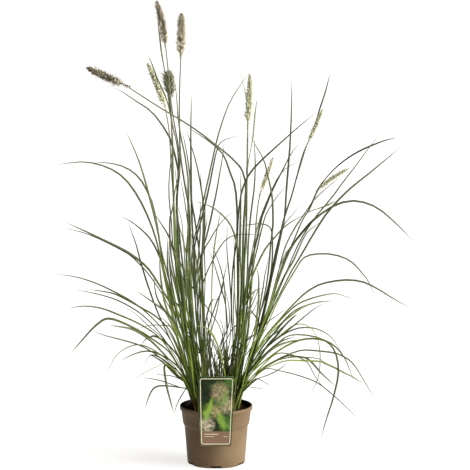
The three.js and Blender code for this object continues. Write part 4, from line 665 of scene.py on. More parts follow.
def add_node(tree, kind, *inputs, out=0, stops=(), **settings):
    """Adds a node with its settings, values and links, and gives back one of its outputs, or all for None.

    A word after the kind is its operation or its type of data. Inputs come in the order of the sockets that
    the settings leave on, or as one dictionary by name. None leaves a socket as it is. Stops are a ramp's
    places and colours.
    """
    kind, _, choice = kind.partition(" ")
    family = next(name for name in NODE_FAMILIES if hasattr(bpy.types, name + kind))
    node = tree.nodes.new(family + kind)
    if choice:
        settings["operation" if hasattr(node, "operation") else "data_type"] = choice
    for key, value in settings.items():
        setattr(node, key, value)
    for place, _ in stops[2:]:
        node.color_ramp.elements.new(place)
    for i, (place, shade) in enumerate(stops):
        node.color_ramp.elements[i].position = place
        node.color_ramp.elements[i].color = colour4(shade)
    pairs = zip([socket for socket in node.inputs if socket.enabled], inputs)
    if inputs and isinstance(inputs[0], dict):
        pairs = [(node.inputs[name], value) for name, value in inputs[0].items()]
    for socket, value in pairs:
        if isinstance(value, (bpy.types.NodeSocket, list)):
            for source in value if isinstance(value, list) else [value]:
                tree.links.new(source, socket)
        elif value is not None:
            is_colour = isinstance(value, str) and value.startswith("#")
            socket.default_value = colour4(value) if is_colour else value
    outputs = [socket for socket in node.outputs if socket.enabled]
    if out is None or not outputs:
        return outputs
    return node.outputs[out] if isinstance(out, str) else outputs[out]


def new_material(name, surface, *colours):
    """A material whose shader gets the inputs that the surface function gives back."""
    material = bpy.data.materials.new(name)
    material.use_nodes = True
    material.node_tree.nodes.clear()
    add = functools.partial(add_node, material.node_tree)
    add("OutputMaterial", add("BsdfPrincipled", surface(add, *colours)))
    return material


def new_geometry_tree(name, sizes):
    """A geometry tree with named inputs; gives it, the function that adds its nodes, and its inputs."""
    tree = bpy.data.node_groups.new(name, "GeometryNodeTree")
    tree.interface.new_socket("Geometry", in_out="INPUT", socket_type="NodeSocketGeometry")
    for key, value in sizes.items():
        socket = tree.interface.new_socket(key, in_out="INPUT", socket_type=SOCKET_KINDS[type(value)])
        if value is not None:
            socket.default_value = value
    tree.interface.new_socket("Geometry", in_out="OUTPUT", socket_type="NodeSocketGeometry")
    add = functools.partial(add_node, tree)
    return tree, add, add("NodeGroupInput", out=None)


def link_object(name, data):
    item = bpy.data.objects.new(name, data)
    bpy.context.scene.collection.objects.link(item)
    return item


def mesh_piece(name, vertices, faces, materials, smooth=True):
    mesh = bpy.data.meshes.new(name)
    mesh.from_pydata(np.asarray(vertices).tolist(), [], faces)
    for material in materials:
        mesh.materials.append(material)
    mesh.validate()
    mesh.polygons.foreach_set("use_smooth", [smooth] * len(mesh.polygons))
    mesh.update()
    return link_object(name, mesh)


def store(mesh, key, values):
    """Keeps a number or a vector for each point of a mesh, under a name."""
    values = np.asarray(values, np.float32)
    kind, field = ("FLOAT_VECTOR", "vector") if values.ndim == 2 else ("FLOAT", "value")
    mesh.attributes.new(key, kind, "POINT").data.foreach_set(field, values.ravel())


def paths_mesh(name, parts):
    """A mesh of open paths; each part has its path in millimetres and its attributes, point by point."""
    mesh = bpy.data.meshes.new(name)
    edges, start = [], 0
    for part in parts:
        end = start + len(part["path"])
        edges += [(i, i + 1) for i in range(start, end - 1)]
        start = end
    mesh.from_pydata((np.vstack([part["path"] for part in parts]) * MM).tolist(), edges, [])
    for key in parts[0]:
        if key != "path":
            store(mesh, key, np.concatenate([part[key] for part in parts]))
    return mesh


def apply_modifiers(piece):
    """Turns what the modifiers make of a piece into its plain mesh."""
    bpy.context.view_layer.update()
    depsgraph = bpy.context.evaluated_depsgraph_get()
    result = bpy.data.meshes.new_from_object(piece.evaluated_get(depsgraph))
    result.name = piece.name
    piece.modifiers.clear()
    piece.data = result


def make_with_nodes(name, source, tree, values):
    """Runs a geometry tree on a source mesh and keeps the result as a plain mesh."""
    piece = link_object(name, source)
    modifier = piece.modifiers.new("nodes", "NODES")
    modifier.node_group = tree
    for item in tree.interface.items_tree:
        if item.name in values:
            modifier[item.identifier] = values[item.name]
    apply_modifiers(piece)
    return piece


def declare(piece, slot, *nodes):
    """Ties a finished piece to the frame."""
    if nodes:
        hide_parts(*nodes)
    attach(piece, "root")


def ribbon_tree():
    """Sweeps a closed section along each path: a folded lens for a leaf, a circle for a culm."""
    sizes = {"Section Points": 8, "Thickness": 0.12, "Fold": 0.3, "Material": None}
    tree, add, given = new_geometry_tree("Ribbons Along Paths", sizes)
    paths, section_points, thickness, fold, material, *_ = given
    facing = add("InputNamedAttribute FLOAT_VECTOR", "facing")
    spine = add("SetCurveNormal", add("MeshToCurve", paths), None, facing, mode="FREE")
    x, y, _ = add("SeparateXYZ", add("InputPosition"), out=None)
    lift = add("Math MULTIPLY", add("Math ABSOLUTE", x), fold)
    lift = add("Math ADD", add("Math MULTIPLY", y, thickness), lift)
    ring = add("CurvePrimitiveCircle", section_points, 1.0)
    section = add("SetPosition", ring, None, add("CombineXYZ", x, lift))
    section = add("StoreNamedAttribute FLOAT", section, None, "across", x)
    half_width = add("InputNamedAttribute FLOAT", "half_width")
    swept = add("CurveToMesh", spine, section, half_width, True)
    real = add("RealizeInstances", add("SetShadeSmooth", swept))
    add("NodeGroupOutput", add("SetMaterial", real, None, material))
    return tree


def head_tree():
    """Sets spikelets and bristles around a spine by the golden turn, as they grow on such a head."""
    sizes = {
        "Spikelets": 300,
        "Bristles": 900,
        "Radius": 0.007,
        "Spikelet Length": 0.0062,
        "Bristle Length": 0.0085,
        "Seed": 0,
        "Spikelet Material": None,
        "Bristle Material": None,
    }
    tree, add, given = new_geometry_tree("Bottle-Brush Head", sizes)
    path, spikelets, bristles, radius, spikelet_length, bristle_length, seed, husk, awn, *_ = given
    spine = add("MeshToCurve", path)
    size = add("InputNamedAttribute FLOAT", "swell")
    position = add("InputPosition")
    x, y, z = add("SeparateXYZ", position, out=None)

    def swung(first, second, angle):
        """The first direction, swung towards the second."""
        ahead = add("VectorMath SCALE", first, add("Math COSINE", angle))
        return add("VectorMath ADD", ahead, add("VectorMath SCALE", second, add("Math SINE", angle)))

    def around(count, shape, material, stem_share, lean_low, lean_more, seed_step):
        """Instances of a shape around the spine, leaning out and up, smaller towards the ends.

        They start a share of the radius from the spine, and lean by lean_low, and lean_more more at the tip.
        """
        spread = add("ResampleCurve", spine, None, count, mode="COUNT")
        points, along, east, _ = add("CurveToPoints", spread, out=None, mode="EVALUATED")
        number = add("InputIndex")
        first_seed = add("Math ADD", seed, seed_step)
        share = add("Math DIVIDE", number, count)

        def chance(low, high, step):
            return add("RandomValue FLOAT", low, high, number, add("Math ADD", first_seed, step))

        turn = add("Math ADD", add("Math MULTIPLY", number, GOLDEN_TURN), chance(-0.3, 0.3, 1))
        lean = add("Math ADD", add("Math MULTIPLY", share, lean_more), lean_low)
        lean = add("Math ADD", lean, chance(-0.14, 0.14, 2))
        outward = swung(east, add("VectorMath CROSS_PRODUCT", along, east), turn)
        way = swung(along, outward, lean)
        facing = add("AxesToRotation", way, along, primary_axis="Z", secondary_axis="X")
        stem = add("Math MULTIPLY", add("Math MULTIPLY", radius, stem_share), size)
        placed = add("SetPosition", points, None, None, add("VectorMath SCALE", outward, stem))
        # Clumps: spikelets stand out light in some spots and lie back dark in others
        clumps = add("TexNoise", position, pattern_scale(3.03), 0.0, NOISE_ROUGHNESS)
        clump = add("MapRange", clumps, 0.43, 0.57)
        grown = add("Math MULTIPLY", add("Math POWER", size, 0.6), chance(0.7, 1.25, 3))
        grown = add("Math MULTIPLY", grown, add("Math ADD", add("Math MULTIPLY", clump, 0.55), 0.7))
        kept = add("Math GREATER_THAN", chance(0.0, 1.0, 5), add("InputNamedAttribute FLOAT", "sparse"))
        copies = add("InstanceOnPoints", placed, kept, shape, None, None, facing, grown)
        tone = add("Math MULTIPLY", chance(0.0, 1.0, 4), 0.3)
        tone = add("Math ADD", tone, add("Math MULTIPLY", clump, 0.7))
        for key, value in (("tone", tone), ("along", share)):
            copies = add("StoreNamedAttribute FLOAT", copies, None, key, value, domain="INSTANCE")
        return add("SetMaterial", add("RealizeInstances", copies), None, material)

    # A spikelet: a long ball, narrower towards its point
    raised = add("Math ADD", z, 0.5)
    wide = add("Math SUBTRACT", 0.42, add("Math MULTIPLY", raised, 0.16))
    spot = add("CombineXYZ", add("Math MULTIPLY", x, wide), add("Math MULTIPLY", y, wide), raised)
    spot = add("VectorMath SCALE", spot, spikelet_length)
    ball = add("SetPosition", add("MeshUVSphere", 5, 4, 0.5), None, spot)
    # A bristle: a thin three-sided cone that curves a little
    cone = add("MeshCone", 3, 3, None, 0.00005, 0.00024, 1.0)
    bent = add("Math ADD", x, add("Math MULTIPLY", add("Math POWER", z, 2.0), 0.0012))
    spot = add("CombineXYZ", bent, y, add("Math MULTIPLY", z, bristle_length))
    cone = add("SetPosition", cone, None, spot)
    # The stem through the middle of the head, 0.3 of its radius
    ring = add("CurvePrimitiveCircle", 6, 0.3)
    stem = add("CurveToMesh", spine, ring, add("Math MULTIPLY", size, radius), True)
    parts = [
        add("SetMaterial", stem, None, husk),
        around(spikelets, ball, husk, stem_share=0.42, lean_low=1.1, lean_more=-0.4, seed_step=10),
        around(bristles, cone, awn, stem_share=0.3, lean_low=1.2, lean_more=-0.55, seed_step=50),
    ]
    add("NodeGroupOutput", add("SetShadeSmooth", add("JoinGeometry", parts)))
    return tree


# Materials, each named for what it is

VEIN_SPACING, HALF_LEAF = 0.184, 1.87


def grass_leaf(add):
    """Grass leaf: deep green with a paler midrib and fine veins, duller high up, reddish at the root."""
    names = ("tone", "from_root", "across", "along", "dry")
    looks = [add("Attribute", out="Fac", attribute_name=name) for name in names]
    tone, from_root, across, along, dry = looks
    streaks = add("TexNoise", add("TexCoord", out="Object"), pattern_scale(111.1), 3.0, NOISE_ROUGHNESS)
    varied = add("Math MULTIPLY", add("Math SUBTRACT", streaks, 0.5), 0.5)
    varied = add("Math ADD", tone, varied)
    low = [(0.0, "#131804"), (0.35, "#283606"), (0.7, "#4c5f10"), (1.0, "#7c8a30")]
    high = [(0.0, "#090b04"), (0.4, "#14190a"), (0.75, "#293016"), (1.0, "#515832")]
    low, high = [add("ValToRGB", varied, stops=stops) for stops in (low, high)]
    sheath = [(0.0, "#3f2014"), (0.25, "#5a3a1e"), (0.42, "#3a4814"), (1.0, "#76843a")]
    straw = [(0.3, "#3a2617"), (0.7, "#7a6240")]
    rise = add("MapRange", from_root, 0.14, 0.5, interpolation_type="SMOOTHSTEP")
    rib = add("MapRange", add("Math ABSOLUTE", across), 0.22, 0.04, 0.0, 0.45)
    root = add("MapRange", from_root, 0.055, 0.018, interpolation_type="SMOOTHSTEP")
    # Duller green high up, the pale midrib, a reddish foot, a greyer end, its dry tip, and old leaves
    green = low
    for share, shade in (
        (rise, high),
        (rib, "#a9b977"),
        (root, add("ValToRGB", tone, stops=sheath)),
        (add("MapRange", along, 0.5, 1.0, 0.0, 0.7), "#62654f"),
        (add("MapRange", along, 0.955, 1.0), "#9a8a55"),
        (dry, add("ValToRGB", streaks, stops=straw)),
    ):
        green = add("Mix RGBA", share, green, shade)
    # Real veins, seen only close by: a half leaf is one unit across, and the wave has 3.18 bands in a unit
    vein_scale = pattern_scale(VEIN_SPACING, HALF_LEAF * MM / 3.18)
    veins = add("TexWave", add("CombineXYZ", across), vein_scale, out="Fac", bands_direction="X")
    relief = add("Bump", 0.25, 0.0002, None, veins)
    return {"Base Color": green, "Roughness": 0.55, "Specular IOR Level": 0.06, "Normal": relief}


def grass_culm(add):
    """Flowering stem: smooth bright green, darker at its joints, browner high up."""
    names = ("tone", "along", "knot")
    tone, along, knot = [add("Attribute", out="Fac", attribute_name=name) for name in names]
    cloud = add("TexNoise", add("TexCoord", out="Object"), pattern_scale(71.4), 2.0, NOISE_ROUGHNESS)
    tone = add("Math ADD", tone, add("Math MULTIPLY", cloud, 0.4))
    green = add("ValToRGB", tone, stops=[(0.1, "#121907"), (0.5, "#27330f"), (1.0, "#566528")])
    brown = add("ValToRGB", tone, stops=[(0.1, "#2c2c22"), (1.0, "#5f5d4a")])
    green = add("Mix RGBA", add("MapRange", along, 0.55, 0.9), green, brown)
    green = add("Mix RGBA", knot, green, "#4a3620")
    return {"Base Color": green, "Roughness": 0.45, "Specular IOR Level": 0.25}


def seed_husk(add):
    """Seed head: small husks, yellow-green when young and mottled purple-brown and beige when ripe."""
    names = ("tone", "along", "ripe", "weathered")
    tone, along, ripe, weathered = [add("Attribute", out="Fac", attribute_name=name) for name in names]
    tone = add("Math ADD", tone, add("MapRange", along, 0.05, 0.35, 0.2, -0.12))
    young = [(0.0, "#82855a"), (0.4, "#adaf83"), (1.0, "#dedcc2")]
    old = [(0.0, "#120c0a"), (0.35, "#3a2f27"), (0.7, "#8f7f6c"), (1.0, "#efe3d0")]
    young, old = [add("ValToRGB", tone, stops=stops) for stops in (young, old)]
    upper = add("Math MULTIPLY", add("Math SUBTRACT", along, 0.5), 0.55)
    spread = add("Math MULTIPLY", add("Math SUBTRACT", tone, 0.5), 0.35)
    share = add("Math ADD", add("Math ADD", ripe, upper), spread, use_clamp=True)
    husk = add("Mix RGBA", share, young, old)
    # Some heads are darkened towards olive grey, as far as their own value says
    husk = add("Mix RGBA", add("Math MULTIPLY", weathered, 0.9), husk, "#3c4023")
    return {"Base Color": husk, "Roughness": 0.7, "Specular IOR Level": 0.2}


def stiff_bristle(add):
    """Bristles of the head: fine and stiff, whitish green when young and purple-grey when ripe."""
    names = ("tone", "ripe", "weathered")
    tone, ripe, weathered = [add("Attribute", out="Fac", attribute_name=name) for name in names]
    young = add("ValToRGB", tone, stops=[(0.0, "#b8b998"), (1.0, "#e8e6d8")])
    old = add("ValToRGB", tone, stops=[(0.0, "#3c322c"), (0.6, "#75695a"), (1.0, "#c2b5a0")])
    bristle = add("Mix RGBA", ripe, young, old)
    # Darkened heads have darker bristles too
    bristle = add("Mix RGBA", add("Math MULTIPLY", weathered, 0.7), bristle, "#4a4734")
    return {"Base Color": bristle, "Roughness": 0.5, "Specular IOR Level": 0.2}


# Leaves, culms and seed heads

# The least width of a leaf, its twist in radians, and how much closer its points are where it turns
LEAF_TIP, LEAF_TWIST, LEAF_TURN_WEIGHT = 0.55, 0.35, 60
# How far leaves wave, the length from which they wave fully, and the height up to which feet stand aside
WAVE, FULL_WAVE_LENGTH, FOOT_FADE = 3.4, 400, 95
# How deep shoots start in the soil, and leaves on a culm below their joint
FOOT_DEPTH, CULM_LEAF_FOOT = 14.0, 2.0
# How far from the soil a leaf on a culm counts as starting, in metres, so that it has no reddish foot
CULM_LEAF_HEIGHT = 0.35
# How far from the axis a low leaf's tip may be to count as hanging close by the rim
RIM_REACH = 130
# Points along a short blade, how deep below the crown's top it starts, and how far its ring stands inwards
SHEATH_POINTS, SHEATH_SINK, CROWN_INWARDS = 11, 22, 0.84
# Where a culm's joints without a leaf start and end, and how far they keep from its other joints
KNOT_START, KNOT_END_SHARE, KNOT_ROOM = 70.0, 0.72, 60
# How long and how thick a joint's swelling is, and where the culm has more points for it
KNOT_SPREAD, KNOT_SWELL = 2.6, 0.35
KNOT_STATIONS = np.array([-5, -2.2, 0, 2.2, 5])
SPINE_POINTS = 44
# A head starts a little down the culm with a few scattered spikelets, as shares of its length
HEAD_FROM, HEAD_FULL = -0.16, 0.12
RIPE_HEADS = (1, 2, 3)


def carried_sideways(path, turn, twist):
    """The width direction of a blade, carried along its path, with a slow twist."""
    ways = np.gradient(path, axis=0)
    ways /= np.linalg.norm(ways, axis=1)[:, None]
    side = np.array([math.cos(turn), math.sin(turn), 0.0])
    found = []
    for i, way in enumerate(ways):
        side = side - way * side.dot(way)
        side /= np.linalg.norm(side)
        angle = twist * i / (len(path) - 1)
        found.append(side * math.cos(angle) + np.cross(way, side) * math.sin(angle))
    return np.array(found)


def leaf_profile(share, widest):
    """Half the width of a leaf in metres: slim low down, broadest at 0.72 of its length, then pointed."""
    rise = np.interp(share, [0, 0.12, 0.3, 0.6, 1], [0.97, 0.86, 0.75, 1.22, 1.75])
    fall = np.clip((1 - share) / 0.28, 0, 1) ** 0.58
    return np.maximum(widest * rise * fall, LEAF_TIP) / 2 * MM


def with_root(line, depth):
    """The line with a straight foot down into the soil."""
    return np.vstack([line[0] - [0, 0, depth], line])


def leaf_arrays(line, widest, turn, points, rng, dry=0.0):
    """One leaf as a path with its attributes."""
    raised = line[0][2] > CROWN_TOP
    foot = CULM_LEAF_FOOT if raised else FOOT_DEPTH
    path = stations_along(with_root(line, foot), points, LEAF_TURN_WEIGHT)[0]
    length = lengths_along(path)
    share = length / length[-1]
    return {
        "path": path,
        "half_width": leaf_profile(share, widest),
        "facing": carried_sideways(path, turn, rng.uniform(-LEAF_TWIST, LEAF_TWIST)),
        "along": share,
        "from_root": length * MM + (CULM_LEAF_HEIGHT if raised else 0.0),
        "tone": np.full(points, rng.uniform(0, 1)),
        "dry": np.full(points, dry),
    }


def with_foot_aside(line, rng):
    """The line with a slow wave, and its foot set aside and inwards, as shoots stand side by side."""
    length = lengths_along(line)
    share = length / length[-1]
    swing = np.sin(share * rng.uniform(4, 9) + rng.uniform(0, 6))
    swing = swing * np.minimum(1, share * 4) * np.minimum(1, length[-1] / FULL_WAVE_LENGTH)
    line = line + np.outer(swing, np.append(rng.uniform(-WAVE, WAVE, 2), 0))
    if line[0][2] > CROWN_TOP:
        return line
    inward = -line[0][:2] / np.linalg.norm(line[0][:2])
    aside = inward * rng.uniform(3, 14) + rng.uniform(-4.5, 4.5, 2)
    fade = np.clip(1 - length / FOOT_FADE, 0, 1) ** 2
    return line + np.column_stack([np.outer(fade, aside), np.zeros(len(line))])


def sheath_arrays(tuft, i, rng):
    """A short young blade or an old dry sheath at the crown of a tuft."""
    x, y = TUFTS[tuft]
    angle = GOLDEN_TURN * i + rng.uniform(-0.4, 0.4)
    out = np.array([math.cos(angle), math.sin(angle), 0])
    middle = np.array([x * CROWN_INWARDS, y * CROWN_INWARDS, CROWN_TOP - SHEATH_SINK])
    root = middle + out * rng.uniform(2, 8)
    length = rng.uniform(20, 60) if i % 2 else rng.uniform(60, 170)
    top = root + [0, 0, length] + out * length * rng.uniform(0.05, 0.4)
    line = smooth_line(np.array([root, root * 0.6 + top * 0.4 - out * 1.0, top]))
    dry = rng.uniform(0.2, 0.85) if i % 2 else rng.uniform(0, 0.25)
    wide = 2.4 if tuft.startswith("middle") else 4.2
    return leaf_arrays(line, wide, angle + math.pi / 2, SHEATH_POINTS, rng, dry)


def make_leaves(plant, settings):
    """One piece for each tuft: its leaves, and the short young blades and dry sheaths around its crown."""
    tree, material = ribbon_tree(), new_material("Grass Leaf", grass_leaf)
    rng = np.random.default_rng(settings.seed)
    values = {
        "Section Points": settings.section_points,
        "Thickness": settings.leaf_thickness,
        "Fold": settings.leaf_fold,
        "Material": material,
    }
    for tuft, leaves in plant.leaves.items():
        # The leaves of the middle tufts are narrower and darker, in the shade of the others
        inner = tuft.startswith("middle")
        parts = []
        for line, widest, turn in leaves:
            wide = widest * settings.leaf_width * rng.uniform(0.85, 1.1) * (0.8 if inner else 1.03)
            leaf = leaf_arrays(with_foot_aside(line, rng), wide, turn, settings.leaf_points, rng)
            leaf["tone"] *= 0.5 if inner else 1.0
            if line[-1][2] < CROWN_TOP and abs(line[-1][0]) < RIM_REACH:
                # Old leaves that hang close by the rim are broad and dark
                leaf["half_width"] *= 1.5
                leaf["tone"] *= 0.35
            parts.append(leaf)
        parts += [sheath_arrays(tuft, i, rng) for i in range(settings.sheaths)]
        name = f"leaves_{tuft}"
        declare(make_with_nodes(name, paths_mesh(name, parts), tree, values), "grass_blade", f"tuft_{tuft}")


def knots_along(line, roots, rng):
    """How far up a culm its joints are: one at each leaf, and more where there is none for a while."""
    length = lengths_along(line)
    knots = [length[np.argmin(np.linalg.norm(line - root, axis=1))] for root in roots]
    at = KNOT_START
    while at < length[-1] * KNOT_END_SHARE:
        if all(abs(at - knot) > KNOT_ROOM for knot in knots):
            knots.append(at)
        at += rng.uniform(120, 175)
    return knots


def make_culms(plant, settings):
    """One piece for each flowering stem: a slim taper with swollen joints."""
    tree, material = ribbon_tree(), new_material("Grass Culm", grass_culm)
    rng = np.random.default_rng(settings.seed + 1)
    for number, (_, line, _) in plant.culms.items():
        base, _ = plant.heads[number]
        line = np.vstack([with_root(line, FOOT_DEPTH), base + (base - line[-1])])
        length = lengths_along(line)
        total = length[-1]
        knots = knots_along(line, plant.joints[number], rng)
        places = np.linspace(0, total, SPINE_POINTS)
        for knot in knots:
            places = np.append(places, knot + KNOT_STATIONS)
        places = np.unique(np.clip(places, 0, total))
        path = np.stack([np.interp(places, length, line[:, k]) for k in range(3)], axis=1)
        share = places / total
        near = np.zeros(len(places))
        for knot in knots:
            near = np.maximum(near, np.exp(-(((places - knot) / KNOT_SPREAD) ** 2)))
        radius = settings.culm_foot + (settings.culm_top - settings.culm_foot) * share**2
        culm = {
            "path": path,
            "half_width": radius + near * KNOT_SWELL * MM,
            "facing": carried_sideways(path, 0.3, 0.0),
            "along": share,
            "tone": np.full(len(path), rng.uniform(0.2, 0.8)),
            "knot": near * 0.8,
        }
        values = {"Section Points": 10, "Thickness": 1.0, "Fold": 0.0, "Material": material}
        name = f"culm_{number}"
        declare(make_with_nodes(name, paths_mesh(name, [culm]), tree, values), "grass_blade")


def make_heads(plant, settings):
    """One piece for each seed head, on the same bowed spine as its solid."""
    tree = head_tree()
    looks = {}
    for age in ("Ripe", "Young"):
        looks[age] = {
            "Spikelet Material": new_material(f"{age} Seed Husk", seed_husk),
            "Bristle Material": new_material(f"{age} Bristle", stiff_bristle),
        }
    # How thick the head is along its spine: slim at its start, full soon after, rounded off at its tip
    s = np.linspace(HEAD_FROM, 1, SPINE_POINTS)
    rounded = np.minimum(1, np.sqrt(np.maximum(0.04, (1.01 - s) / 0.35)))
    swell = (0.45 + 0.55 * np.minimum(1, s / 0.08)) * rounded
    swell[s < 0.02] = 0.48
    sparse = np.interp(s, [HEAD_FROM, 0.0, HEAD_FULL], [0.86, 0.6, -0.01])
    t = s[:, None]
    for number, (_, radius, bow, spikelets, ripeness, weathered) in HEADS.items():
        base, tip = plant.heads[number]
        middle = (base + tip) / 2 + [2 * bow, 0, 0]
        path = (1 - t) ** 2 * base + 2 * t * (1 - t) * middle + t**2 * tip
        age = "Ripe" if number in RIPE_HEADS else "Young"
        values = {
            "Spikelets": spikelets,
            "Bristles": int(spikelets * settings.bristles_each),
            "Radius": radius * MM,
            "Spikelet Length": radius * MM * 0.98,
            "Bristle Length": radius * MM * settings.bristle_reach,
            "Seed": 100 * number,
            **looks[age],
        }
        name = f"head_{number}"
        source = paths_mesh(name, [{"path": path, "swell": swell, "sparse": sparse}])
        piece = make_with_nodes(name, source, tree, values)
        # Each head keeps its ripeness and how far it is darkened towards olive grey
        for key, value in (("ripe", ripeness), ("weathered", weathered)):
            store(piece.data, key, np.full(len(piece.data.vertices), value))
        declare(piece, f"{age.lower()}_seed_head", f"seed_head_{number}")


# Pot

# The whole profile as radius and height: underside, foot, body, step, collar, lip, wall inside, floor
POT_PROFILE = [
    (0, 1.2), (60, 1.2), (63.5, 0.5), (65.5, 0), (67.2, 0.2), (68.3, 1), (68.8, 2.4), (72.2, 46),
    (75.6, 88.6), (75.8, 90.4), (76.3, 91.4), (77.6, 94.4), (78.9, 97), (79.4, 98.4), (79.7, 100),
    (83.2, 128.6), (83.8, 129.7), (85.4, 129.9), (86.3, 130.5), (86.7, 131.8), (86.7, 137.6),
    (86.3, 139.3), (85.3, 140), (83.6, 140), (82.7, 139.5), (82.4, 138.4), (81.7, 130), (77.8, 98),
    (74.1, 91), (66.9, 4.2), (65.6, 3), (0, 3),
]
POT_INSIDE = [(66.7, 3), (74, 91), (77.7, 98), (81.6, 130), (82.5, 140)]
POT_SIDES = 144
FOOT_OPENINGS = 6
# Width, depth and height of a notch's cutter, and how far its middle is from the axis
NOTCH_SIZE = (26, 5, 13)
NOTCH_REACH = 67
DRAIN_RADIUS, DRAIN_CIRCLE, DRAIN_SIDES = 5, 38, 32
# How much wider the wall is for each unit of height
WALL_FLARE = 0.122


def moulded_plastic(add, dark, light):
    """Moulded pot plastic: matt taupe with a soft sheen, faintly mottled, a dark band inside the rim, painted
    shade on the inside wall, in the notches and under the floor.
    """
    place = add("TexCoord", out="Object")
    x, y, z = add("SeparateXYZ", place, out=None)
    cloud = add("TexNoise", place, pattern_scale(71.4), 4.0, NOISE_ROUGHNESS)
    colour = add("ValToRGB", cloud, stops=[(0.3, dark), (0.7, light)])
    foot = add("Math MULTIPLY", add("MapRange", z, 0.03, 0.0, 0.0, 0.6), cloud)
    colour = add("Mix RGBA", foot, colour, "#5c4830")
    away = add("VectorMath LENGTH", add("CombineXYZ", x, y))
    flared = add("Math SUBTRACT", away, add("Math MULTIPLY", z, WALL_FLARE))
    crumbly = add("TexNoise", place, pattern_scale(11.11), 4.0, NOISE_ROUGHNESS)
    ragged = add("Math ADD", flared, add("Math MULTIPLY", crumbly, 0.0006))
    # A dark brown band on the inner edge of the rim's top, painted shade on the inside wall below it, and
    # painted shade in the foot's notches and under the floor; metres
    for reach, radius, side, height, shade in (
        (ragged, 0.0682, "GREATER_THAN", 0.1395, "#4a3828"),
        (ragged, 0.0666, "GREATER_THAN", 0.1, "#17100b"),
        (away, 0.0652, "LESS_THAN", 0.006, "#0d0806"),
    ):
        share = add("Math MULTIPLY", add("Math LESS_THAN", reach, radius), add(f"Math {side}", z, height))
        colour = add("Mix RGBA", share, colour, shade)
    # The mould's own grain is finer than the render shows, so this one is drawn 1.1 mm wide
    grain = add("TexNoise", place, pattern_scale(1.1111), 2.0, NOISE_ROUGHNESS)
    relief = add("Bump", 0.12, 0.0002, None, grain)
    return {"Base Color": colour, "Roughness": 0.5, "Specular IOR Level": 0.08, "Normal": relief}


def circle(radius, sides):
    """Points around the axis, as x and y."""
    angles = [2 * math.pi * j / sides for j in range(sides)]
    return [(radius * math.cos(angle), radius * math.sin(angle)) for angle in angles]


def turned_faces(rings, sides):
    """The faces of a form turned about the axis: a middle point, rings of points, and a middle point."""
    faces = []
    last = 1 + (rings - 1) * sides
    for j in range(sides):
        k = (j + 1) % sides
        faces.append((0, 1 + k, 1 + j))
        for a in range(1, last, sides):
            faces.append((a + j, a + k, a + sides + k, a + sides + j))
        faces.append((last + sides, last + j, last + k))
    return faces


def notch_mesh(turn):
    """A box at the foot of the pot, turned about its axis."""
    w, d, h = (size / 2 for size in NOTCH_SIZE)
    c, s = math.cos(turn), math.sin(turn)
    flat = [(x, y - NOTCH_REACH, z) for x in (-w, w) for y in (-d, d) for z in (-h, h)]
    faces = [(0, 1, 3, 2), (4, 6, 7, 5), (0, 4, 5, 1), (2, 3, 7, 6), (0, 2, 6, 4), (1, 5, 7, 3)]
    return [(x * c - y * s, x * s + y * c, z) for x, y, z in flat], faces


def drain_mesh(turn):
    """A column through the floor of the pot, turned about its axis."""
    x, y = DRAIN_CIRCLE * math.cos(turn), DRAIN_CIRCLE * math.sin(turn)
    sides = DRAIN_SIDES
    points = [(x + px, y + py, z) for z in (-1, 4) for px, py in circle(DRAIN_RADIUS, sides)]
    faces = [tuple(reversed(range(sides))), tuple(range(sides, 2 * sides))]
    faces += [(i, (i + 1) % sides, (i + 1) % sides + sides, i + sides) for i in range(sides)]
    return points, faces


def carve(piece, cutters):
    """Cuts closed meshes out of a piece and removes them."""
    for points, faces in cutters:
        cutter = mesh_piece("cutter", np.array(points) * MM, faces, piece.data.materials[:])
        modifier = piece.modifiers.new("cut", "BOOLEAN")
        modifier.operation = "DIFFERENCE"
        modifier.object = cutter
        modifier.solver = "EXACT"
        apply_modifiers(piece)
        bpy.data.objects.remove(cutter)


def make_pot(settings):
    """The moulded shell, with notches at its foot and drain holes in its floor."""
    points = [(0, 0, POT_PROFILE[0][1])]
    for radius, z in POT_PROFILE[1:-1]:
        points += [(x, y, z) for x, y in circle(radius, POT_SIDES)]
    points.append((0, 0, POT_PROFILE[-1][1]))
    colours = (settings.plastic_dark, settings.plastic_light)
    material = new_material("Taupe Moulded Plastic", moulded_plastic, *colours)
    faces = turned_faces(len(POT_PROFILE) - 2, POT_SIDES)
    pot = mesh_piece("pot_shell", np.array(points) * MM, faces, [material])
    cutters = []
    for i in range(FOOT_OPENINGS):
        turn = i * 2 * math.pi / FOOT_OPENINGS
        cutters += [notch_mesh(turn), drain_mesh(turn + math.pi / FOOT_OPENINGS)]
    carve(pot, cutters)
    pot.data.set_sharp_from_angle(angle=settings.crease)
    declare(pot, "pot_plastic", "pot")


# Soil

SOIL_SIDES = 96
# The height that gives the width of the top, the height of the top at the wall, and the gap to the wall
SOIL_EDGE_HEIGHT, SOIL_TOP = 126, 126.4
SOIL_GAP = 0.9
SOIL_LEVELS = (125, 99, 90, 20, 3.6)
# The lumps fade out over this at the wall
SOIL_FADE = 6
# In metres
FIBRE_SIZE = (0.006, 0.0007, 0.0004)


def dark_compost(add):
    """Potting compost: nearly black, damp, in crumbs."""
    place = add("TexCoord", out="Object")
    cloud = add("TexNoise", place, pattern_scale(8.33), 4.0, NOISE_ROUGHNESS)
    tone = add("Attribute", out="Fac", attribute_name="tone")
    tone = add("Math ADD", tone, add("Math MULTIPLY", cloud, 0.35))
    colour = add("ValToRGB", tone, stops=[(0.0, "#0b0706"), (0.7, "#20150f"), (1.0, "#49341f")])
    relief = add("Bump", 0.6, 0.0008, None, add("TexNoise", place, pattern_scale(2), 5.0, NOISE_ROUGHNESS))
    return {"Base Color": colour, "Roughness": 0.85, "Specular IOR Level": 0.15, "Normal": relief}


def bark_fibre(add):
    """Bits of bark and old roots lying in the compost: brown, and a few bleached."""
    tone = add("Attribute", out="Fac", attribute_name="tone")
    stops = [(0.0, "#1f140d"), (0.6, "#46311f"), (0.93, "#7b6347"), (1.0, "#b9ad99")]
    return {"Base Color": add("ValToRGB", tone, stops=stops), "Roughness": 0.8}


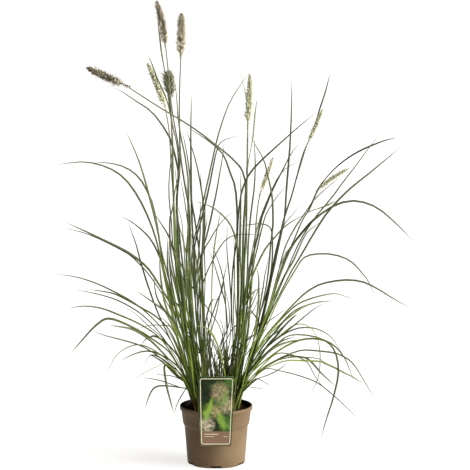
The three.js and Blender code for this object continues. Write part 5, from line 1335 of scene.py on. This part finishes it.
def soil_height(x, y):
    """The same lumps as the solid's, with finer ones on them."""
    coarse = np.sin(x * 0.21 + 1.3) * np.cos(y * 0.17 - 0.4)
    fine = np.sin(x * 0.47 - y * 0.39 + 2.1)
    crumb = 0.5 * np.sin(x * 1.31 + 0.4) * np.sin(y * 1.17 + 1.1) + 0.3 * np.sin(x * 2.3 - y * 1.9)
    return 128 + 1.6 * (0.6 * coarse + 0.4 * fine) + 0.7 * crumb


def crumb_tree():
    """Scatters crumbs and fibres over the top of the soil."""
    sizes = {
        "Density": 60000.0,
        "Crumb Size": 0.0016,
        "Fibre Density": 9000.0,
        "Soil Material": None,
        "Fibre Material": None,
    }
    tree, add, given = new_geometry_tree("Crumbs On Soil", sizes)
    bed, density, crumb_size, fibre_density, soil, bark, *_ = given
    level = add("Math GREATER_THAN", add("SeparateXYZ", add("InputNormal"), out="Z"), 0.5)
    high = add("Math GREATER_THAN", add("SeparateXYZ", add("InputPosition"), out="Z"), 0.12)
    top = add("Math MULTIPLY", level, high)
    whole_turn = (6.283, 6.283, 6.283)

    def scattered(shape, density, least, greatest, seed, material):
        spread = add("DistributePointsOnFaces", bed, top, density, seed, distribute_method="RANDOM")
        turn = add("RandomValue FLOAT_VECTOR", (0, 0, 0), whole_turn, None, seed + 1)
        size = add("RandomValue FLOAT_VECTOR", least, greatest, None, seed + 2)
        copies = add("InstanceOnPoints", spread, None, shape, None, None, turn, size)
        tone = add("RandomValue FLOAT", 0.0, 1.0, None, seed + 3)
        copies = add("StoreNamedAttribute FLOAT", copies, None, "tone", tone, domain="INSTANCE")
        return add("SetMaterial", add("RealizeInstances", copies), None, material)

    crumb = add("MeshIcoSphere", crumb_size, 1)
    fibre = add("MeshCube", FIBRE_SIZE)
    parts = [
        add("SetMaterial", bed, None, soil),
        scattered(crumb, density, (0.4, 0.4, 0.3), (1.5, 1.2, 1.0), 11, soil),
        scattered(fibre, fibre_density, (0.3, 0.7, 0.7), (1.3, 1.6, 1.5), 31, bark),
    ]
    add("NodeGroupOutput", add("JoinGeometry", parts))
    return tree


def inside_radius(z):
    radii, heights = zip(*POT_INSIDE)
    return float(np.interp(z, heights, radii))


def make_soil(settings):
    """The plug of compost: a lumpy top that evens out at the wall, and plain sides just inside the pot."""
    rim = inside_radius(SOIL_EDGE_HEIGHT) - SOIL_GAP
    radii = [*np.linspace(2.5, rim - 2.5, 30), rim - 1]
    points = [(0, 0, float(soil_height(0, 0)))]
    for radius in radii:
        edge = min(1.0, (rim - radius) / SOIL_FADE)
        for x, y in circle(radius, SOIL_SIDES):
            points.append((x, y, SOIL_TOP + (soil_height(x, y) - SOIL_TOP) * edge))
    for z in SOIL_LEVELS:
        points += [(x, y, z) for x, y in circle(inside_radius(z - 1) - SOIL_GAP, SOIL_SIDES)]
    points.append((0, 0, SOIL_LEVELS[-1]))
    # The profile runs down from the top, so each face is turned over
    faces = turned_faces(len(radii) + len(SOIL_LEVELS), SOIL_SIDES)
    faces = [(face[0], *face[:0:-1]) for face in faces]
    source = bpy.data.meshes.new("soil_bed")
    source.from_pydata((np.array(points) * MM).tolist(), [], faces)
    store(source, "tone", np.full(len(points), 0.3))
    values = {
        "Density": settings.crumb_density,
        "Fibre Density": settings.fibre_density,
        "Crumb Size": settings.crumb_size,
        "Soil Material": new_material("Dark Compost", dark_compost),
        "Fibre Material": new_material("Bark Fibre", bark_fibre),
    }
    declare(make_with_nodes("soil_bed", source, crumb_tree(), values), "potting_soil", "soil")


# Hang card, in metres

CARD_LOW, CARD_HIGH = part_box("plant_card")
CARD_X = (CARD_LOW.x + CARD_HIGH.x) / 2
CARD_Z = (CARD_LOW.z + CARD_HIGH.z) / 2
CARD_HEIGHT = CARD_HIGH.z - CARD_LOW.z
CARD_TOP_WIDTH = CARD_HIGH.x - CARD_LOW.x
CARD_FOOT_WIDTH = 0.0738
CARD_THICKNESS = 0.0008
CARD_BEVEL = 0.00018
CARD_CORNER = 0.006
CORNER_STEPS = 8
# How far it leans to the right for each unit of height
CARD_LEAN = 0.012
TONGUE_HALF_WIDTH = 0.012
TONGUE_THICKNESS = 0.0007
# The tongue over the rim and down inside, as y and z
TONGUE_ROUTE = [
    (-0.0874, 0.14035), (-0.0845, 0.1403), (-0.0815, 0.1404), (-0.0795, 0.1399),
    (-0.0786, 0.1385), (-0.0782, 0.1365), (-0.0767, 0.122), (-0.0752, 0.106),
]
# The print is laid out in widths of the card, from its foot
FLECKS = [
    ((0.60, 1.50), 0.24, "#a08c6c"),
    ((0.82, 1.12), 0.20, "#b8a786"),
    ((0.46, 0.98), 0.17, "#a8946c"),
    ((0.20, 0.60), 0.20, "#c9bb9d"),
]
LEAF_SHAPES = [
    ((0.26, 1.02), -0.35, 0.36, 0.085, "#7d9a3c"),
    ((0.66, 0.70), 0.45, 0.30, 0.10, "#71903a"),
    ((0.74, 1.34), -0.15, 0.22, 0.06, "#5f8230"),
]
BAND_LINES = [(0.34, 0.14, 0.56, 0.007), (0.275, 0.14, 0.44, 0.004), (0.275, 0.74, 0.86, 0.005)]
FRAME_MIDDLE = (0.5, 0.97, 0.0)
FRAME_HALF_WIDTH, FRAME_HALF_HEIGHT, FRAME_CORNER, FRAME_LINE = 0.442, 0.905, 0.055, 0.009


def disc(add, place, centre, radius, blur):
    """How far inside a disc the print is: 1 inside, 0 outside, soft at the edge."""
    away = add("VectorMath DISTANCE", place, (*centre, 0.0))
    return add("MapRange", away, radius + blur, radius - blur, interpolation_type="SMOOTHSTEP")


def leaf_shape(add, place, centre, slant, length, width, blur):
    """How far inside a leaf shape the print is: where two discs overlap."""
    radius = (length**2 + width**2) / (2 * width)
    aside = np.array([math.cos(slant), math.sin(slant)]) * (radius - width)
    discs = [disc(add, place, (centre + side * aside).tolist(), radius, blur) for side in (1, -1)]
    return add("Math MULTIPLY", *discs)


def printed_card(add):
    """Printed card under a satin film: out-of-focus greens, leaf shapes, pale flecks, a cream frame line."""
    place = add("UVMap", uv_map="print")
    u, v, _ = add("SeparateXYZ", place, out=None)
    # The picture's shapes waver, as they do out of focus
    waver = add("TexNoise", place, pattern_scale(14.4, CARD_TOP_WIDTH), 4.0, out="Color")
    waver = add("VectorMath SCALE", add("VectorMath SUBTRACT", waver, (0.5, 0.5, 0.5)), 0.22)
    loose = add("VectorMath ADD", place, waver)
    mottle = add("TexNoise", loose, pattern_scale(6.63, CARD_TOP_WIDTH), 4.0, NOISE_ROUGHNESS)
    cloud = add("TexNoise", place, pattern_scale(33.3, CARD_TOP_WIDTH), 3.0, NOISE_ROUGHNESS)
    tilt = add("Math ADD", add("Math MULTIPLY", u, 0.25), cloud)
    greens = [(0.4, "#0c1107"), (0.6, "#1d2a12"), (0.8, "#3a5622"), (1.0, "#65823a")]
    layers = []
    for centre, radius, shade in FLECKS:
        grain = add("MapRange", mottle, 0.3, 0.68, 0.0, 0.85)
        layers.append((add("Math MULTIPLY", disc(add, loose, centre, radius, 0.1), grain), shade))
    for centre, slant, length, width, shade in LEAF_SHAPES:
        patch = add("Math ADD", add("Math MULTIPLY", mottle, 0.9), 0.35, use_clamp=True)
        shape = leaf_shape(add, loose, centre, slant, length, width, 0.07)
        layers.append((add("Math MULTIPLY", shape, patch), shade))
    # The plain band at the foot, with plain lines on it
    layers.append((add("MapRange", v, 0.43, 0.405), "#6f5846"))
    for height, start, end, half_thick in BAND_LINES:
        level = add("Math LESS_THAN", add("Math ABSOLUTE", add("Math SUBTRACT", v, height)), half_thick)
        line = add("Math MULTIPLY", level, add("Math GREATER_THAN", u, start))
        layers.append((add("Math MULTIPLY", line, add("Math LESS_THAN", u, end)), "#d9cbb4"))
    # The cream frame line is a rounded rectangle, and the picture is darker outside it
    folded = add("VectorMath ABSOLUTE", add("VectorMath SUBTRACT", place, FRAME_MIDDLE))
    reach = (FRAME_HALF_WIDTH - FRAME_CORNER, FRAME_HALF_HEIGHT - FRAME_CORNER, 0.0)
    beyond = add("VectorMath MAXIMUM", add("VectorMath SUBTRACT", folded, reach), (0.0, 0.0, 0.0))
    far = add("VectorMath LENGTH", beyond)
    off = add("Math ABSOLUTE", add("Math SUBTRACT", far, FRAME_CORNER))
    layers.append((add("Math LESS_THAN", off, FRAME_LINE), "#d3c9ac"))
    outside = add("Math GREATER_THAN", far, FRAME_CORNER + FRAME_LINE + 0.0005)
    layers.append((add("Math MULTIPLY", outside, 0.6), "#2f3d1e"))
    colour = add("ValToRGB", tilt, stops=greens)
    for share, shade in layers:
        colour = add("Mix RGBA", share, colour, shade)
    return {"Base Color": colour, "Roughness": 0.4, "Specular IOR Level": 0.12}


def card_board(add):
    """The card's back and cut edge: plain off-white board."""
    return {"Base Color": "#d8d2c2", "Roughness": 0.6}


def card_outline():
    """The tapering outline with rounded corners, as x and z."""
    half_foot, half_top = CARD_FOOT_WIDTH / 2, CARD_TOP_WIDTH / 2
    foot, top = CARD_LOW.z, CARD_HIGH.z
    corners = [Vector(p) for p in ((-half_foot, foot), (half_foot, foot), (half_top, top), (-half_top, top))]
    outline = []
    for i, corner in enumerate(corners):
        before = corner + (corners[i - 1] - corner).normalized() * CARD_CORNER
        after = corner + (corners[(i + 1) % 4] - corner).normalized() * CARD_CORNER
        for step in range(CORNER_STEPS + 1):
            t = step / CORNER_STEPS
            outline.append(before * (1 - t) ** 2 + corner * 2 * t * (1 - t) + after * t**2)
    return outline


def card_sheet():
    """The card itself: its outline in four rings from front to back, the outer two drawn in by a bevel."""
    outline = card_outline()
    count = len(outline)
    centre = Vector((0, CARD_Z))
    front, back, bevel = CARD_LOW.y, CARD_LOW.y + CARD_THICKNESS, CARD_BEVEL
    points, faces = [], []
    for y, inward in ((front, bevel), (front + bevel, 0), (back - bevel, 0), (back, bevel)):
        for p in outline:
            q = p + (centre - p).normalized() * inward
            points.append((CARD_X + CARD_LEAN * (q.y - centre.y) + q.x, y, q.y))
    for a in range(0, 3 * count, count):
        for i in range(count):
            j = (i + 1) % count
            faces.append((a + i, a + count + i, a + count + j, a + j))
    faces.append(tuple(range(count)))
    faces.append(tuple(reversed(range(3 * count, 4 * count))))
    return points, faces


def card_tongue(start):
    """The tongue, bent over the rim and down inside; its points are numbered from the start."""
    lower, upper = [], []
    for i, (y, z) in enumerate(TONGUE_ROUTE):
        behind, ahead = TONGUE_ROUTE[max(i - 1, 0)], TONGUE_ROUTE[min(i + 1, len(TONGUE_ROUTE) - 1)]
        way = Vector((ahead[0] - behind[0], ahead[1] - behind[1])).normalized()
        lower.append((y, z))
        upper.append((y - way.y * TONGUE_THICKNESS, z + way.x * TONGUE_THICKNESS))
    ring = lower + upper[::-1]
    n = len(ring)
    points = [(CARD_X + x, y, z) for x in (-TONGUE_HALF_WIDTH, TONGUE_HALF_WIDTH) for y, z in ring]
    faces = []
    for i in range(n):
        j = (i + 1) % n
        faces.append((start + i, start + j, start + n + j, start + n + i))
    for i in range(len(lower) - 1):
        a, b, c, d = start + i, start + i + 1, start + n - 2 - i, start + n - 1 - i
        faces += [(a, d, c, b), (a + n, b + n, c + n, d + n)]
    return points, faces


def make_card():
    """The card with its tongue, its print on the front and plain board elsewhere."""
    points, faces = card_sheet()
    more_points, more_faces = card_tongue(len(points))
    materials = [new_material("Printed Card", printed_card), new_material("Card Board", card_board)]
    card = mesh_piece("hang_card", points + more_points, faces + more_faces, materials, smooth=False)
    data = card.data
    layer = data.uv_layers.new(name="print")
    for loop in data.loops:
        x, _, z = data.vertices[loop.vertex_index].co
        rise = (z - CARD_LOW.z) / CARD_HEIGHT
        width = CARD_FOOT_WIDTH + (CARD_TOP_WIDTH - CARD_FOOT_WIDTH) * rise
        aside = x - CARD_X - CARD_LEAN * (z - CARD_Z)
        layer.data[loop.index].uv = (0.5 + aside / width, rise * CARD_HEIGHT / CARD_TOP_WIDTH)
    for face in data.polygons:
        printed = face.normal.y < -0.3 and face.center.y < CARD_LOW.y + CARD_THICKNESS / 2
        face.material_index = 0 if printed else 1
    declare(card, "printed_card", "plant_card")


# Stage: a plain pale floor under soft light, and the camera at the standing point


def make_stage(settings):
    """A pale floor that glows like a light table, a low soft sun, light from all round, and the camera."""
    scene = bpy.context.scene
    reach = settings.floor_reach
    glow = {
        "Base Color": colour4(settings.floor_colour),
        "Roughness": 0.9,
        "Emission Color": "#fffefc",
        "Emission Strength": settings.floor_glow,
    }
    corners = [(-reach, -reach, 0), (reach, -reach, 0), (reach, reach, 0), (-reach, reach, 0)]
    material = new_material("Pale Floor", lambda add: glow)
    floor = mesh_piece("floor", corners, [(0, 1, 2, 3)], [material], smooth=False)

    lamp = bpy.data.lights.new("soft_sun", "SUN")
    lamp.energy = settings.sun_strength
    lamp.angle = settings.sun_softness
    lamp.color = (1.0, 1.0, 0.99)
    sun = link_object("soft_sun", lamp)
    sun.rotation_euler = Vector(settings.sun_from).to_track_quat("Z", "Y").to_euler()

    world = bpy.data.worlds.new("studio")
    world.use_nodes = True
    world.node_tree.nodes.clear()
    add = functools.partial(add_node, world.node_tree)
    height = add("SeparateXYZ", add("TexCoord"), out="Z")
    sky = [(0.0, "#ffffff"), (0.03, "#ffffff"), (0.12, "#7c7b78"), (0.5, "#b9b8b4"), (1.0, "#ffffff")]
    light = add("ValToRGB", height, stops=sky)
    add("OutputWorld", add("Background", light, settings.sky_strength))
    scene.world = world

    camera = bpy.data.cameras.new("camera")
    camera.sensor_width = SENSOR_MM
    camera.lens = VIEW_FOCAL_PIXELS * SENSOR_MM / PICTURE_PIXELS
    camera.clip_end = 1000.0
    holder = link_object("camera", camera)
    holder.location = (VIEW_X * MM, VIEW_Y * MM, VIEW_Z * MM)
    holder.rotation_euler = (math.pi / 2 - VIEW_PITCH, 0, 0)
    scene.camera = holder
    scene.view_settings.view_transform = "Standard"


# Settings

LENGTH = {"subtype": "DISTANCE", "unit": "LENGTH", "precision": 4}
COLOUR = {"subtype": "COLOR", "min": 0.0, "max": 1.0}


class PlantSettings(bpy.types.PropertyGroup):
    """Sizes and counts of the leaves, culms and seed heads"""

    seed: IntProperty(name="Seed", description="Seed of the small differences between leaves", default=7)
    leaf_points: IntProperty(name="Leaf Points", description="Points along each leaf", default=26, min=6)
    section_points: IntProperty(
        name="Section Points", description="Points around a leaf's section", default=8, min=6
    )
    leaf_width: FloatProperty(name="Leaf Width", description="Share of the solid's width", default=0.78)
    leaf_fold: FloatProperty(
        name="Leaf Fold", description="How far each half of a leaf is folded up", default=0.5
    )
    leaf_thickness: FloatProperty(
        name="Leaf Thickness", description="Thickness as a share of the width", default=0.2
    )
    sheaths: IntProperty(
        name="Sheaths", description="Short blades and old sheaths around each crown", default=10, min=0
    )
    culm_foot: FloatProperty(
        name="Culm Foot", description="Radius of a culm at the soil", default=0.003, **LENGTH
    )
    culm_top: FloatProperty(
        name="Culm Top", description="Radius of a culm under its head", default=0.0013, **LENGTH
    )
    bristles_each: FloatProperty(
        name="Bristles Each", description="Bristles for each spikelet", default=2.3, min=0.0
    )
    bristle_reach: FloatProperty(
        name="Bristle Reach", description="Bristle length against the head's radius", default=2.0
    )


class PotSettings(bpy.types.PropertyGroup):
    """Colours and edges of the pot, and what lies on its soil"""

    plastic_dark: FloatVectorProperty(
        name="Dark Plastic", description="The pot's darker spots", default=colour4("#5b4934")[:3], **COLOUR
    )
    plastic_light: FloatVectorProperty(
        name="Light Plastic", description="The pot's lighter spots", default=colour4("#675641")[:3], **COLOUR
    )
    crease: FloatProperty(
        name="Crease",
        description="Edges of the pot sharper than this stay sharp",
        default=math.radians(42),
        subtype="ANGLE",
    )
    crumb_density: FloatProperty(
        name="Crumb Density", description="Crumbs for each square metre of soil", default=70000.0
    )
    fibre_density: FloatProperty(
        name="Fibre Density", description="Fibres for each square metre of soil", default=11000.0
    )
    crumb_size: FloatProperty(name="Crumb Size", description="Radius of a crumb", default=0.0016, **LENGTH)


class StageSettings(bpy.types.PropertyGroup):
    """The floor and the lights"""

    floor_reach: FloatProperty(
        name="Floor Reach", description="Half the floor's side", default=400.0, **LENGTH
    )
    floor_colour: FloatVectorProperty(
        name="Floor Colour", description="Floor without its glow", default=colour4("#8c8b8a")[:3], **COLOUR
    )
    floor_glow: FloatProperty(
        name="Floor Glow", description="Light from the floor, as on a light table", default=0.82
    )
    sun_strength: FloatProperty(name="Sun Strength", description="Strength of the soft sun", default=12.0)
    sun_softness: FloatProperty(
        name="Sun Softness", description="Angle of the sun's disc", default=1.2, subtype="ANGLE"
    )
    sun_from: FloatVectorProperty(
        name="Sun From", description="Direction towards the sun", default=(0.9, -0.28, 0.3)
    )
    sky_strength: FloatProperty(
        name="Sky Strength", description="Strength of the light from all round", default=0.08
    )


# Operators


@functools.cache
def grown_plant():
    """The plant, grown once for leaves, culms and heads."""
    return Plant().grow()


class GRASS_OT_pot(bpy.types.Operator):
    """Makes the moulded pot with its notches and drain holes"""

    bl_idname = "grass.pot"
    bl_label = "Pot"

    def execute(self, context):
        make_pot(context.scene.grass_pot)
        return {"FINISHED"}


class GRASS_OT_soil(bpy.types.Operator):
    """Makes the bed of compost with its crumbs and fibres"""

    bl_idname = "grass.soil"
    bl_label = "Soil"

    def execute(self, context):
        make_soil(context.scene.grass_pot)
        return {"FINISHED"}


class GRASS_OT_card(bpy.types.Operator):
    """Makes the printed hang card with its tongue"""

    bl_idname = "grass.card"
    bl_label = "Hang Card"

    def execute(self, context):
        make_card()
        return {"FINISHED"}


class GRASS_OT_leaves(bpy.types.Operator):
    """Makes the leaves of every tuft"""

    bl_idname = "grass.leaves"
    bl_label = "Leaves"

    def execute(self, context):
        make_leaves(grown_plant(), context.scene.grass_plant)
        return {"FINISHED"}


class GRASS_OT_culms(bpy.types.Operator):
    """Makes the nine flowering stems"""

    bl_idname = "grass.culms"
    bl_label = "Culms"

    def execute(self, context):
        make_culms(grown_plant(), context.scene.grass_plant)
        return {"FINISHED"}


class GRASS_OT_heads(bpy.types.Operator):
    """Makes the nine seed heads"""

    bl_idname = "grass.heads"
    bl_label = "Seed Heads"

    def execute(self, context):
        make_heads(grown_plant(), context.scene.grass_plant)
        return {"FINISHED"}


class GRASS_OT_stage(bpy.types.Operator):
    """Sets the floor, the light and the camera"""

    bl_idname = "grass.stage"
    bl_label = "Stage"

    def execute(self, context):
        make_stage(context.scene.grass_stage)
        return {"FINISHED"}


OPERATORS = (
    GRASS_OT_pot,
    GRASS_OT_soil,
    GRASS_OT_card,
    GRASS_OT_leaves,
    GRASS_OT_culms,
    GRASS_OT_heads,
    GRASS_OT_stage,
)


class GRASS_PT_panel(bpy.types.Panel):
    """Lists the pieces in the order they are made"""

    bl_label = "Potted Fountain Grass"
    bl_idname = "GRASS_PT_panel"
    bl_space_type = "VIEW_3D"
    bl_region_type = "UI"
    bl_category = "Grass"

    def draw(self, context):
        for operator in OPERATORS:
            self.layout.operator(operator.bl_idname)


CLASSES = (PlantSettings, PotSettings, StageSettings, *OPERATORS, GRASS_PT_panel)


def register():
    for item in CLASSES:
        bpy.utils.register_class(item)
    bpy.types.Scene.grass_plant = PointerProperty(type=PlantSettings)
    bpy.types.Scene.grass_pot = PointerProperty(type=PotSettings)
    bpy.types.Scene.grass_stage = PointerProperty(type=StageSettings)


def unregister():
    del bpy.types.Scene.grass_stage
    del bpy.types.Scene.grass_pot
    del bpy.types.Scene.grass_plant
    for item in reversed(CLASSES):
        bpy.utils.unregister_class(item)


def main():
    register()
    bpy.ops.grass.pot()
    bpy.ops.grass.soil()
    bpy.ops.grass.card()
    bpy.ops.grass.leaves()
    bpy.ops.grass.culms()
    bpy.ops.grass.heads()
    bpy.ops.grass.stage()


if __name__ == "__main__":
    main()
